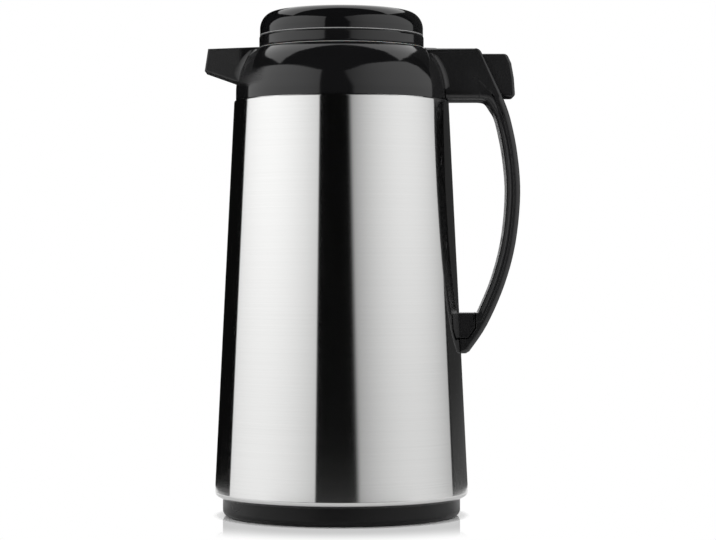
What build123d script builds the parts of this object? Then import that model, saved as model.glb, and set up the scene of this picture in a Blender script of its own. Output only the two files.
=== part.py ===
from build123d import *
import os
from math import acos, cos, degrees, hypot, radians, sin, sqrt

# Pressure-lever vacuum carafe with a flip lid.
# Frame: origin on the body's axis at the table, +Z up, spout towards -X, handle towards +X.
# All lengths are in millimetres.

# ---- Fits and clearances ----
running_fit = 0.05        # radial play of a pin in the hole that turns on it
sliding_fit = 0.08        # radial play of the valve stem in its guide
moulding_gap = 0.3        # gap between two mouldings that are assembled by hand
swing_gap = 0.6           # gap kept around parts that swing or tilt
seal_gap = 0.3            # a seal is drawn just clear of the face that it presses on

# ---- Steel jacket ----
jacket_wall = 0.6
jacket_base_r = 77.5      # widest outer radius, just above the base ring
jacket_base_z = 13.4
jacket_base_round = 3.0
jacket_foot_step = 4.1    # how far the turned-in bottom edge stands in from there
jacket_foot_r = jacket_base_r - jacket_foot_step
jacket_foot_z = 11.0
jacket_foot_lip = 1.4     # how far the bottom edge is folded in flat
jacket_top_r = 65.7
jacket_top_z = 253.3
jacket_top_round = 1.1
jacket_lip_r = 62.6       # inner edge of the top, folded in flat under the collar

# ---- Base ring, service cap and cushion ----
base_ring_step = 0.8      # how far the ring's side stands in from the jacket's edge
base_ring_r = jacket_foot_r - base_ring_step
base_edge_round = 3.8
base_wall = 3.0
base_foot_r = 64.0        # inner radius of the ring that stands on the table
base_spigot_top_z = 24.0
base_web_z = 4.2
base_web_thickness = 3.0
cap_bore_r = 46.0
cap_boss_wall = 3.0
cap_boss_top_z = 19.0
cap_flange_r = 57.0
cap_bottom_z = 1.2
cap_wall = 3.0
cap_plug_top_z = 16.0
cap_slot_length = 44.0
cap_slot_width = 5.0
cap_slot_depth = 1.6
cushion_hole_r = 12.0

# ---- Glass vacuum flask ----
glass_wall = 1.6
flask_r = 60.5
flask_bottom_z = 22.0
flask_bottom_round = 38.0
flask_side_top_z = 238.0
flask_side_round = 20.0
flask_neck_base_z = 248.0
flask_neck_round = 6.0
neck_outer_r = 35.5
neck_depth = 5.0          # both glass walls of the neck and the vacuum between them
neck_inner_r = neck_outer_r - neck_depth
vacuum_gap = 3.4
vacuum_gap_bottom = 5.0
inner_neck_base_drop = 4.5
lip_z = 257.0             # where the two glass walls are melted together
lip_height = 2.5
lip_round = 1.1
nipple_r = 3.4
nipple_length = 8.0
spacer_r = 5.0
spacer_z = 72.0
spacer_count = 3
spacer_gap = 0.05
shoulder_ring_z = 214.0
shoulder_ring_height = 9.0

# ---- Neck gasket ----
gasket_wall = 2.0
gasket_top = 2.5          # thickness over the glass lip
gasket_skirt_z = 252.6

# ---- Collar and spout ----
collar_r = 64.7
collar_wall = 2.5
collar_top_z = 285.2
shoulder_start_z = 258.0  # above this height the collar rounds inwards
shoulder_rx = 25.0        # horizontal half axis of the rounding
collar_skirt_depth = 6.6
bowl_r = 44.5
bowl_land = 7.0           # flat land round the bowl's mouth
collar_rim_r = bowl_r + bowl_land
bowl_cone_top_z = 274.5
cone_drop = 11.5          # the cone narrows by as much as it drops
throat_r = bowl_r - cone_drop
collar_foot_wall = 5.2    # width of the collar's foot on the neck gasket
collar_foot_r = throat_r + collar_foot_wall
spout_tip_x = 83.1
spout_lip_overhang = 2.1
spout_tip_low_z = 270.9
spout_tip_high_z = 284.4
spout_under_x = 64.0
spout_under_z = 264.3
spout_tip_half = 13.0
spout_root_half = 18.0
spout_edge_round = 1.2
channel_floor_z = 273.4
channel_roof_z = 282.8
channel_tip_half = 10.0
channel_root_half = 12.5
channel_run_in = 2.0      # how far the channel floor cuts into the bowl's cone
nose_slot_low_z = 270.6   # bottom of the slot in the collar for the lever's nose

# ---- Handle ----
handle_half = 15.0        # half width of the block and of the top of the grip
grip_foot_half = 12.5     # half width of the grip where it meets the foot
block_front_x = 40.0
block_top_z = 284.8
block_rear_x = 83.8
block_bottom_z = 253.1
block_underside_end_x = 82.5
block_top_round = 4.5
block_edge_round = 1.2
grip_skin = 3.9           # outer moulding's share of the grip
grip_thickness = 8.2
grip_points = [           # outer line of the grip, from the block down to the foot
    (97.6, 256.4),
    (102.5, 243.0),
    (107.0, 221.0),
    (108.8, 196.0),
    (106.0, 166.5),
    (99.3, 141.0),
    (jacket_base_r + 11.1, 116.5),
    (jacket_base_r + 0.3, 100.4),
]
grip_elbow = (90.6, 248.6)      # inner line, where the grip turns into the block
cover_corner = (83.6, 264.3)    # top front corner of the grip cover's seam
cover_shoulder = (91.1, 258.2)
cover_seam = 0.2          # open seam between the grip's two mouldings
bracket_top_z = 124.0
bracket_low_z = 107.9
bracket_chamfer_z = 114.5
bracket_reach = 4.4       # how far the bracket stands out from the jacket's widest radius
bracket_rear_x = jacket_base_r + bracket_reach
bracket_chamfer = 4.6     # the bracket's rear lower corner is cut back by this
bracket_chamfer_x = bracket_rear_x - bracket_chamfer
bracket_half = 11.0
bracket_edge_round = 1.5
foot_depth = 15.9         # the foot is drawn this far in before the jacket is cut away
foot_inner_x = bracket_rear_x - foot_depth
foot_toe = (jacket_base_r - 1.8, 99.2)  # lowest outer corner of the foot

# ---- Thumb lever ----
lever_pivot = (72.0, 270.0)
lever_boss_r = 5.2
lever_half = 10.5
lever_arm_half = 6.0
lever_bay_half = 11.0
lever_bay_front_x = 66.0
lever_bay_floor_z = 257.5
lever_bay_roof_z = 282.4
lever_bay_points = [      # outline of the bay, from its roof round its floor to the back
    (lever_bay_front_x, lever_bay_roof_z),
    (lever_bay_front_x, lever_bay_floor_z),
    (80.5, lever_bay_floor_z),
    (82.0, 266.2),
    (85.5, 266.2),
    (92.5, 260.0),
    (96.9, 249.6),
    (112.0, 248.2),
    (112.0, lever_bay_roof_z),
]
lever_slot_half = 6.6
lever_slot_low_z = 264.2
lever_pin_r = 1.5
lever_pin_half = 13.6     # the pin is let into both cheeks and stops short of their outsides
lever_shell = 2.2
lever_rear_round = 3.0
lever_top_rear = (100.8, 281.8)
lever_points = [          # side outline of the wide part that the thumb presses
    (66.6, 270.0),
    (66.6, 279.5),
    (84.0, 279.5),
    (85.6, 281.8),
    lever_top_rear,
    (103.5, 276.0),
    (105.1, 266.8),
    (105.9, 257.0),
    (105.9, 255.3),
    (99.3, 255.3),
    (96.6, 258.5),
    (91.5, 266.0),
    (84.0, 270.0),
    (78.6, 264.8),
    (72.0, 264.8),
]
lever_pocket_points = [   # hollow behind the thumb face
    (86.8, 279.6),
    (99.7, 279.6),
    (101.3, 275.6),
    (102.9, 266.6),
    (103.7, 257.0),
    (103.7, 254.0),
    (96.0, 254.0),
    (91.0, 262.0),
    (86.8, 268.0),
]
arm_underside = [(62.5, 268.0), (50.0, 273.0), (41.2, 275.9)]
nose_front_x = 41.2
nose_length = 5.0
nose_top_z = 279.2
arm_top_z = 277.0
spring_wire_r = 0.45
lever_spring_x = 76.0
lever_spring_r = 2.6
lever_spring_turns = 4

# ---- Lid ----
hinge_x = 57.0
hinge_z = 282.6
knuckle_r = 2.7
knuckle_half = 8.8
hinge_pin_r = 1.25
hinge_pin_half = 12.0
arm_plate_low_z = 283.4
arm_plate_high_z = 285.4
hinge_recess_rear = 4.6   # how far the recess in the block reaches behind the hinge line
lid_ring_step = 1.1       # how far the lid's ring stands in from the collar's rim
lid_ring_r = collar_rim_r - lid_ring_step
lid_ring_gap = 0.4        # open line between the collar and the lid's ring
lid_ring_low_z = collar_top_z + lid_ring_gap
lid_ring_height = 7.6
lid_ring_high_z = lid_ring_low_z + lid_ring_height
lid_ring_round = 1.5
dome_step = 0.4           # how far the dome stands in from the ring
dome_r = lid_ring_r - dome_step
lid_groove_depth = 1.6
lid_groove_r = dome_r - lid_groove_depth
lid_groove_height = 0.5
dome_side_height = 3.5
dome_round_rx = 9.75
dome_round_rz = 10.8
dome_round_sweep = 87.0
dome_rise = 15.0          # height of the crown over the ring's top
dome_top_z = lid_ring_high_z + dome_rise
dome_wall = 2.4
lid_floor_low_z = 284.8
lid_floor_high_z = 287.4
lid_plug_low_z = 281.5
lid_plug_wall = 2.4
lid_rim_wall = 2.0
lid_rim_height = 3.0
spring_well_r = 8.0
spring_well_wall = 2.0
spring_well_floor_z = 279.0
guide_wall = 2.1
guide_length = 7.0
stem_r = 3.0
stopper_play = 4.1        # room between the stopper's side and the bowl
stopper_r = bowl_r - stopper_play
stopper_wall = 2.5
stopper_cone_gap = 3.1    # radial gap between the stopper's cone and the bowl's
stopper_bottom_z = 261.2
valve_seat_r = 12.5
port_half = 9.0
port_low_z = 274.8
port_high_z = 280.8
stopper_gasket_low_z = 266.0
stopper_gasket_high_z = 270.0
stopper_gasket_seat = 1.0
valve_disc_r = 17.0
valve_disc_thickness = 2.6
valve_seal_thickness = 2.3
valve_seal_inner_r = 11.5
valve_seal_width = 5.0
stem_cap_r = 6.4
stem_cap_thickness = 1.6
stem_cap_z = 288.0
valve_spring_r = 5.0
valve_spring_turns = 5

# ---- Rocker inside the lid ----
rocker_pivot = (22.0, 292.6)
rocker_half = 3.0
rocker_bar = 3.0
rocker_boss_r = 3.6
rocker_pin_r = 1.2
rocker_front_x = -3.0
rocker_tail = 3.4         # length of the tail leg along X
rocker_slot_front_x = 41.0
rocker_slot_rear_x = 48.6  # below the flange, where the tail swings furthest back
rocker_slot_step_x = 47.3  # above the flange
rocker_slot_step_z = 289.5
rocker_tail_front_x = 42.6
rocker_slot_half = 3.7
lug_gap = 0.5
lug_wall = 3.0
contact_gap = 0.3         # rest gap between lever nose and rocker, and rocker and stem

# ---- Screws and rivets ----
handle_screw_r = 1.2
handle_screw_head_r = 2.3
handle_screw_head = 1.8
handle_screw_y = 13.0
handle_screw_z = (260.4, 271.0)
handle_screw_head_x = 52.5
handle_screw_length = 16.5
screw_boss_r = 3.4
rivet_r = 1.5
rivet_head_r = 2.8
rivet_head = 1.9
rivet_y = 6.0
rivet_z = 117.0
rivet_length = 9.0
foot_screw_r = 1.2
foot_screw_head_r = 2.2
foot_screw_head = 1.2
foot_screw_z = 110.6
foot_screw_seat_x = bracket_rear_x
foot_screw_length = 8.2
cover_screw_r = 1.1
cover_screw_head_r = 2.1
cover_screw_head = 1.5
cover_screw_sink = 0.4
cover_screw_count = 2
cover_screw_step_count = 2  # grip points from one cover screw to the next
cover_screw_length = 5.6
lid_screw_circle_r = 34.6
lid_screw_count = 4
lid_screw_r = 1.4
lid_screw_head_r = 2.7
lid_screw_head = 1.8
lid_screw_length = 8.5
lid_screw_boss_r = 3.9
lid_screw_boss_low_z = 275.5


def jacket_radius(z):
    """Outer radius of the jacket's straight flank at height z."""
    slope = (jacket_top_r - jacket_base_r) / (jacket_top_z - jacket_base_z)
    return jacket_base_r + slope * (z - jacket_base_z)


def inset(points, distance):
    """Points moved towards the body by a distance, square to the line that they lie on."""
    moved = []
    for i, (x, z) in enumerate(points):
        x0, z0 = points[max(i - 1, 0)]
        x1, z1 = points[min(i + 1, len(points) - 1)]
        span = hypot(x1 - x0, z1 - z0)
        moved.append((x + distance * (z1 - z0) / span, z - distance * (x1 - x0) / span))
    return moved


# The collar's shoulder is part of an ellipse that starts upright and ends at the rim.
shoulder_sweep = degrees(acos(1 - (collar_r - collar_rim_r) / shoulder_rx))
shoulder_rz = (collar_top_z - shoulder_start_z) / sin(radians(shoulder_sweep))
shoulder_centre = (collar_r - shoulder_rx, shoulder_start_z)

# Derived heights that several pieces share.
cushion_r = cap_bore_r - cap_wall - 2 * moulding_gap
cap_floor_z = cap_bottom_z + cap_wall
gasket_top_z = lip_z + lip_height + gasket_top
bowl_cone_low_z = bowl_cone_top_z - cone_drop
os.makedirs("parts", exist_ok=True)


def write(piece, name):
    """Label one finished piece and write it to its own file."""
    piece.part.label = name
    export_step(piece.part, f"parts/{name}.step")


# ======== Body, from the table up ========

# Jacket: one drawn steel sleeve, folded in flat at both ends.
with BuildPart() as outer_shell:
    with BuildSketch(Plane.XZ):
        with BuildLine():
            FilletPolyline(
                (jacket_foot_r - jacket_foot_lip, jacket_foot_z),
                (jacket_foot_r, jacket_foot_z),
                (jacket_base_r, jacket_base_z),
                (jacket_top_r, jacket_top_z),
                (jacket_lip_r, jacket_top_z),
                radius=(0, jacket_base_round, jacket_top_round),
            )
            offset(amount=jacket_wall, side=Side.LEFT)
        make_face()
    revolve(axis=Axis.Z)
    with BuildSketch(Plane.YZ):
        with Locations((rivet_y, rivet_z), (-rivet_y, rivet_z)):
            Circle(rivet_r + running_fit)
    extrude(amount=jacket_base_r, mode=Mode.SUBTRACT)
write(outer_shell, "outer_shell")

# Base ring: stands on the table, plugs into the jacket and holds the service cap.
spigot_r = jacket_foot_r - jacket_foot_lip - moulding_gap
base_web_top_z = base_web_z + base_web_thickness
with BuildPart() as base_ring:
    with BuildSketch(Plane.XZ):
        with BuildLine():
            FilletPolyline(
                (base_foot_r, 0),
                (base_ring_r, 0),
                (base_ring_r, jacket_foot_z),
                (spigot_r, jacket_foot_z),
                (spigot_r, base_spigot_top_z),
                (spigot_r - base_wall, base_spigot_top_z),
                (spigot_r - base_wall, base_web_top_z),
                (cap_bore_r + cap_boss_wall, base_web_top_z),
                (cap_bore_r + cap_boss_wall, cap_boss_top_z),
                (cap_bore_r, cap_boss_top_z),
                (cap_bore_r, base_web_z),
                (base_foot_r, base_web_z),
                radius=(0, base_edge_round, 0, 0, 0, 0, 0, 0, 0, 0, 0, 0),
                close=True,
            )
        make_face()
    revolve(axis=Axis.Z)
write(base_ring, "base_ring")

# Service cap: screws up into the base ring and presses the cushion against the flask.
plug_r = cap_bore_r - moulding_gap
with BuildPart() as base_cap:
    with BuildSketch(Plane.XZ):
        with BuildLine():
            Polyline(
                (0, cap_bottom_z),
                (cap_flange_r, cap_bottom_z),
                (cap_flange_r, base_web_z),
                (plug_r, base_web_z),
                (plug_r, cap_plug_top_z),
                (plug_r - cap_wall, cap_plug_top_z),
                (plug_r - cap_wall, cap_floor_z),
                (0, cap_floor_z),
                close=True,
            )
        make_face()
    revolve(axis=Axis.Z)
    with BuildSketch(Plane.XY.offset(cap_bottom_z)):
        SlotOverall(cap_slot_length, cap_slot_width)
    extrude(amount=cap_slot_depth, mode=Mode.SUBTRACT)
write(base_cap, "base_cap")

# Cushion: a rubber pad with a hole that keeps the glass tip clear.
with BuildPart() as liner_cushion:
    with BuildSketch(Plane.XY.offset(cap_floor_z)):
        Circle(cushion_r)
        Circle(cushion_hole_r, mode=Mode.SUBTRACT)
    extrude(amount=flask_bottom_z - cap_floor_z)
write(liner_cushion, "liner_cushion")

# Outer flask: the outside glass wall of the vacuum, closed by a drawn-off tip below.
with BuildPart() as liner_outer_flask:
    with BuildSketch(Plane.XZ):
        with BuildLine():
            FilletPolyline(
                (0, flask_bottom_z),
                (flask_r, flask_bottom_z),
                (flask_r, flask_side_top_z),
                (neck_outer_r, flask_neck_base_z),
                (neck_outer_r, lip_z),
                radius=(flask_bottom_round, flask_side_round, flask_neck_round),
            )
            offset(amount=glass_wall, side=Side.LEFT)
        make_face()
    revolve(axis=Axis.Z)
    with BuildSketch(Plane.XY.offset(flask_bottom_z)):
        Circle(nipple_r)
    extrude(amount=-nipple_length, taper=12)
write(liner_outer_flask, "liner_outer_flask")

# Inner flask: holds the drink, and carries the rounded lip that closes the vacuum.
inner_flask_r = flask_r - glass_wall - vacuum_gap
inner_neck_r = neck_inner_r + glass_wall
inner_bottom_z = flask_bottom_z + glass_wall + vacuum_gap_bottom
inner_round_drop = glass_wall + vacuum_gap
with BuildPart() as liner_inner_flask:
    with BuildSketch(Plane.XZ):
        with BuildLine():
            FilletPolyline(
                (0, inner_bottom_z),
                (inner_flask_r, inner_bottom_z),
                (inner_flask_r, flask_side_top_z - inner_neck_base_drop),
                (inner_neck_r, flask_neck_base_z - inner_neck_base_drop),
                (inner_neck_r, lip_z),
                radius=(
                    flask_bottom_round - inner_round_drop,
                    flask_side_round - inner_round_drop,
                    flask_neck_round,
                ),
            )
            offset(amount=glass_wall, side=Side.LEFT)
        make_face()
    revolve(axis=Axis.Z)
    with BuildSketch(Plane.XZ):
        with BuildLine():
            FilletPolyline(
                (neck_inner_r, lip_z),
                (neck_outer_r, lip_z),
                (neck_outer_r, lip_z + lip_height),
                (neck_inner_r, lip_z + lip_height),
                radius=(0, 0, lip_round, lip_round),
                close=True,
            )
        make_face()
    revolve(axis=Axis.Z)
write(liner_inner_flask, "liner_inner_flask")

# Spacers: small pads that keep the two glass walls apart.
with BuildPart() as liner_spacers:
    with Locations(*[Plane.XZ.rotated((0, 0, turn * 360 / spacer_count)) for turn in range(spacer_count)]):
        with Locations((0, spacer_z, -flask_r)):
            Cylinder(spacer_r, flask_r, align=(Align.CENTER, Align.CENTER, Align.MIN))
    with BuildSketch(Plane.XY.offset(spacer_z - 2 * spacer_r)):
        Circle(flask_r - glass_wall - spacer_gap)
        Circle(inner_flask_r + spacer_gap, mode=Mode.SUBTRACT)
    extrude(amount=4 * spacer_r, mode=Mode.INTERSECT)
write(liner_spacers, "liner_spacers")

# Shoulder ring: a rubber ring that centres the flask in the jacket.
shoulder_ring_top_z = shoulder_ring_z + shoulder_ring_height
with BuildPart() as liner_shoulder_ring:
    with BuildSketch(Plane.XZ):
        with BuildLine():
            Polyline(
                (flask_r, shoulder_ring_z),
                (jacket_radius(shoulder_ring_z) - jacket_wall - moulding_gap, shoulder_ring_z),
                (jacket_radius(shoulder_ring_top_z) - jacket_wall - moulding_gap, shoulder_ring_top_z),
                (flask_r, shoulder_ring_top_z),
                close=True,
            )
        make_face()
    revolve(axis=Axis.Z)
write(liner_shoulder_ring, "liner_shoulder_ring")

# Neck gasket: a silicone ring pinched between the glass lip and the collar.
gasket_skirt_r = neck_outer_r + moulding_gap
with BuildPart() as neck_gasket:
    with BuildSketch(Plane.XZ):
        with BuildLine():
            Polyline(
                (neck_inner_r, lip_z + lip_height),
                (gasket_skirt_r, lip_z + lip_height),
                (gasket_skirt_r, gasket_skirt_z),
                (gasket_skirt_r + gasket_wall, gasket_skirt_z),
                (gasket_skirt_r + gasket_wall, gasket_top_z),
                (neck_inner_r, gasket_top_z),
                close=True,
            )
        make_face()
    revolve(axis=Axis.Z)
write(neck_gasket, "neck_gasket")

# ======== Collar with the spout ========


def shoulder_solid(gap):
    """The collar's outer shape as a solid plug, grown by a gap."""
    with BuildPart() as plug:
        with BuildSketch(Plane.XZ):
            with BuildLine():
                shoulder = EllipticalCenterArc(
                    shoulder_centre, shoulder_rx + gap, shoulder_rz + gap, arc_size=shoulder_sweep
                )
                Polyline(
                    shoulder @ 1,
                    (0, collar_top_z),
                    (0, jacket_top_z - collar_skirt_depth),
                    (collar_r + gap, jacket_top_z - collar_skirt_depth),
                    shoulder @ 0,
                )
            make_face()
        revolve(axis=Axis.Z)
    return plug.part


# Spout blank: side outline crossed with the plan outline, so that it narrows to the tip.
with BuildPart() as spout_blank:
    with BuildSketch(Plane.XZ):
        with BuildLine():
            Polyline(
                (-spout_tip_x, spout_tip_low_z),
                (spout_lip_overhang - spout_tip_x, spout_tip_high_z),
                (-collar_rim_r, collar_top_z),
                (-bowl_r, collar_top_z),
                (-bowl_r, spout_under_z),
                (-spout_under_x, spout_under_z),
                close=True,
            )
        make_face()
    extrude(amount=spout_root_half, both=True)
    with BuildSketch(Plane.XY.offset(shoulder_start_z)):
        with BuildLine():
            Polyline(
                (-spout_tip_x, -spout_tip_half),
                (-bowl_r, -spout_root_half),
                (-bowl_r, spout_root_half),
                (-spout_tip_x, spout_tip_half),
                close=True,
            )
        make_face()
    extrude(amount=collar_top_z - shoulder_start_z, mode=Mode.INTERSECT)
    long_edges = spout_blank.edges().filter_by(
        lambda edge: edge.length > spout_tip_half
        and abs(edge.center().Y) > channel_tip_half
        and edge.center().X < -bowl_r - collar_wall
    )
    fillet(long_edges, spout_edge_round)

# Screw bosses behind the shoulder, where the handle is screwed on.
with BuildPart() as screw_bosses:
    with BuildSketch(Plane.YZ.offset(handle_screw_head_x)):
        with Locations([(y, z) for y in (-handle_screw_y, handle_screw_y) for z in handle_screw_z]):
            Circle(screw_boss_r)
    extrude(amount=collar_r - handle_screw_head_x)
    add(shoulder_solid(-collar_wall / 2), mode=Mode.INTERSECT)

# Collar: rounded shoulder outside, stopper bowl inside, joined at the rim.
skirt_r = jacket_lip_r - moulding_gap
bowl_outer_r = bowl_r + collar_wall
cone_outer_low_z = bowl_cone_low_z + collar_wall
inner_sweep = degrees(acos((bowl_outer_r - shoulder_centre[0]) / (shoulder_rx - collar_wall)))
with BuildPart() as collar:
    with BuildSketch(Plane.XZ):
        with BuildLine():
            outside = EllipticalCenterArc(
                shoulder_centre, shoulder_rx, shoulder_rz, arc_size=shoulder_sweep
            )
            underside = EllipticalCenterArc(
                shoulder_centre,
                shoulder_rx - collar_wall,
                shoulder_rz - collar_wall,
                arc_size=inner_sweep,
            )
            Polyline(
                outside @ 0,
                (collar_r, jacket_top_z),
                (skirt_r, jacket_top_z),
                (skirt_r, jacket_top_z - collar_skirt_depth),
                (skirt_r - collar_wall, jacket_top_z - collar_skirt_depth),
                (skirt_r - collar_wall, jacket_top_z),
                underside @ 0,
            )
            Polyline(
                underside @ 1,
                (bowl_outer_r, bowl_cone_top_z - collar_wall / 2),
                (collar_foot_r, cone_outer_low_z),
                (collar_foot_r, gasket_top_z),
                (throat_r, gasket_top_z),
                (throat_r, bowl_cone_low_z),
                (bowl_r, bowl_cone_top_z),
                (bowl_r, collar_top_z),
                outside @ 1,
            )
        make_face()
    revolve(axis=Axis.Z)
    add(spout_blank.part)
    add(screw_bosses.part)
    # Pouring channel, from the stopper bowl out through the tip.
    with BuildSketch(Plane.XY.offset(channel_floor_z)):
        with BuildLine():
            Polyline(
                (-spout_tip_x - spout_lip_overhang, -channel_tip_half),
                (-bowl_r + channel_run_in, -channel_root_half),
                (-bowl_r + channel_run_in, channel_root_half),
                (-spout_tip_x - spout_lip_overhang, channel_tip_half),
                close=True,
            )
        make_face()
    extrude(amount=channel_roof_z - channel_floor_z, mode=Mode.SUBTRACT)
    # Notch for the lid's hinge arm, and below it the slot for the lever's nose.
    with BuildSketch(Plane.XZ):
        with Locations((bowl_r - collar_wall, hinge_z - knuckle_r - swing_gap)):
            Rectangle(collar_r, hinge_x, align=(Align.MIN, Align.MIN))
    extrude(amount=knuckle_half + swing_gap, both=True, mode=Mode.SUBTRACT)
    with BuildSketch(Plane.XZ):
        with BuildLine():
            Polyline(
                (bowl_r - collar_wall, nose_slot_low_z),
                (handle_screw_head_x, nose_slot_low_z),
                (handle_screw_head_x, lever_slot_low_z),
                (collar_r + collar_wall, lever_slot_low_z),
                (collar_r + collar_wall, hinge_z),
                (bowl_r - collar_wall, hinge_z),
                close=True,
            )
        make_face()
    extrude(amount=lever_slot_half, both=True, mode=Mode.SUBTRACT)
    # Clearance holes for the handle screws.
    with BuildSketch(Plane.YZ.offset(handle_screw_head_x)):
        with Locations([(y, z) for y in (-handle_screw_y, handle_screw_y) for z in handle_screw_z]):
            Circle(handle_screw_r + running_fit)
    extrude(amount=collar_r, mode=Mode.SUBTRACT)
write(collar, "collar")

# ======== Handle ========

grip_seam = inset(grip_points, grip_skin)
grip_inner = inset(grip_points, grip_thickness)
recess_half = knuckle_half + swing_gap
recess_floor_z = hinge_z - knuckle_r - swing_gap

# Foot bracket: a block riveted to the jacket, which the lower end of the handle hooks over.
with BuildPart() as jacket_plug:
    with BuildSketch(Plane.XZ):
        with BuildLine():
            Polyline(
                (0, jacket_base_z),
                (jacket_radius(jacket_base_z) + running_fit, jacket_base_z),
                (jacket_radius(jacket_top_z) + running_fit, jacket_top_z),
                (0, jacket_top_z),
                close=True,
            )
        make_face()
    revolve(axis=Axis.Z)
with BuildPart() as handle_foot_bracket:
    with BuildSketch(Plane.XZ):
        with BuildLine():
            Polyline(
                (foot_inner_x, bracket_low_z),
                (bracket_chamfer_x, bracket_low_z),
                (bracket_rear_x, bracket_chamfer_z),
                (bracket_rear_x, bracket_top_z),
                (foot_inner_x, bracket_top_z),
                close=True,
            )
        make_face()
    extrude(amount=bracket_half, both=True)
    fillet(handle_foot_bracket.edges().filter_by(Axis.X), bracket_edge_round)
    add(jacket_plug.part, mode=Mode.SUBTRACT)
    with BuildSketch(Plane.YZ.offset(foot_inner_x)):
        with Locations((-rivet_y, rivet_z), (rivet_y, rivet_z)):
            Circle(rivet_r + running_fit)
        with Locations((0, foot_screw_z)):
            Circle(foot_screw_r + running_fit)
    extrude(amount=bracket_rear_x - foot_inner_x, mode=Mode.SUBTRACT)
write(handle_foot_bracket, "handle_foot_bracket")

# Side outline and front outline shared by the handle's two mouldings.
with BuildPart() as handle_blank:
    with BuildSketch(Plane.XZ):
        with BuildLine():
            FilletPolyline(
                (block_front_x, block_bottom_z),
                (block_front_x, block_top_z),
                (block_rear_x, block_top_z),
                grip_points[0],
                grip_elbow,
                (block_underside_end_x, block_bottom_z),
                radius=(0, 0, block_top_round, 0, 0, 0),
                close=True,
            )
        make_face()
        with BuildLine():
            Spline(*grip_points)
            Polyline(
                grip_points[-1],
                foot_toe,
                (foot_inner_x, foot_toe[1]),
                (foot_inner_x, grip_inner[-2][1]),
                grip_inner[-2],
            )
            Spline(
                *grip_inner[-2:0:-1],
                grip_elbow,
                (block_underside_end_x, block_bottom_z),
                tangents=[(0.35, 1), (-1, 0)],
            )
            Line((block_underside_end_x, block_bottom_z), grip_points[0])
        make_face()
    extrude(amount=handle_half, both=True)
    with BuildSketch(Plane.YZ.offset(block_front_x)):
        with BuildLine():
            Polyline(
                (-grip_foot_half, foot_toe[1]),
                (grip_foot_half, foot_toe[1]),
                (grip_foot_half, bracket_top_z),
                (handle_half, grip_points[1][1]),
                (handle_half, block_top_z),
                (-handle_half, block_top_z),
                (-handle_half, grip_points[1][1]),
                (-grip_foot_half, bracket_top_z),
                close=True,
            )
        make_face()
    extrude(amount=grip_points[3][0], mode=Mode.INTERSECT)


def cover_region(gap):
    """The inner moulding's share of the handle's side outline, grown by a gap."""
    seam = inset(grip_points, grip_skin - gap)
    with BuildPart() as region:
        with BuildSketch(Plane.XZ):
            with BuildLine():
                Polyline(
                    seam[1],
                    (cover_shoulder[0] + gap / 2, cover_shoulder[1] + gap),
                    (cover_corner[0] - gap, cover_corner[1] + gap),
                    (cover_corner[0] - gap, block_bottom_z - grip_thickness),
                    (foot_inner_x, block_bottom_z - grip_thickness),
                    (foot_inner_x, bracket_top_z - grip_thickness),
                    (bracket_rear_x, seam[-2][1]),
                    seam[-2],
                )
                Spline(*seam[-2:0:-1])
            make_face()
        extrude(amount=handle_half, both=True)
    return region.part


# Foot bracket with room around it, taken out of both mouldings.
with BuildPart() as bracket_room:
    with BuildSketch(Plane.XZ):
        with BuildLine():
            Polyline(
                (foot_inner_x, bracket_low_z - cover_seam),
                (bracket_chamfer_x, bracket_low_z - cover_seam),
                (bracket_rear_x + cover_seam, bracket_chamfer_z - cover_seam),
                (bracket_rear_x + cover_seam, bracket_top_z + cover_seam),
                (foot_inner_x, bracket_top_z + cover_seam),
                close=True,
            )
        make_face()
    extrude(amount=handle_half, both=True)

# Planes for the two cover screws, square to the grip.
cover_screw_planes = []
for turn in range(cover_screw_count):
    i = cover_screw_step_count * (turn + 1)
    (x_in, z_in), (x_out, z_out) = grip_inner[i], grip_points[i]
    along = Vector(x_out - x_in, 0, z_out - z_in).normalized()
    seat = Vector(x_in, 0, z_in) + along * (cover_screw_sink + cover_screw_head)
    cover_screw_planes.append(Plane(origin=seat, x_dir=(0, 1, 0), z_dir=along))

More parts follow.
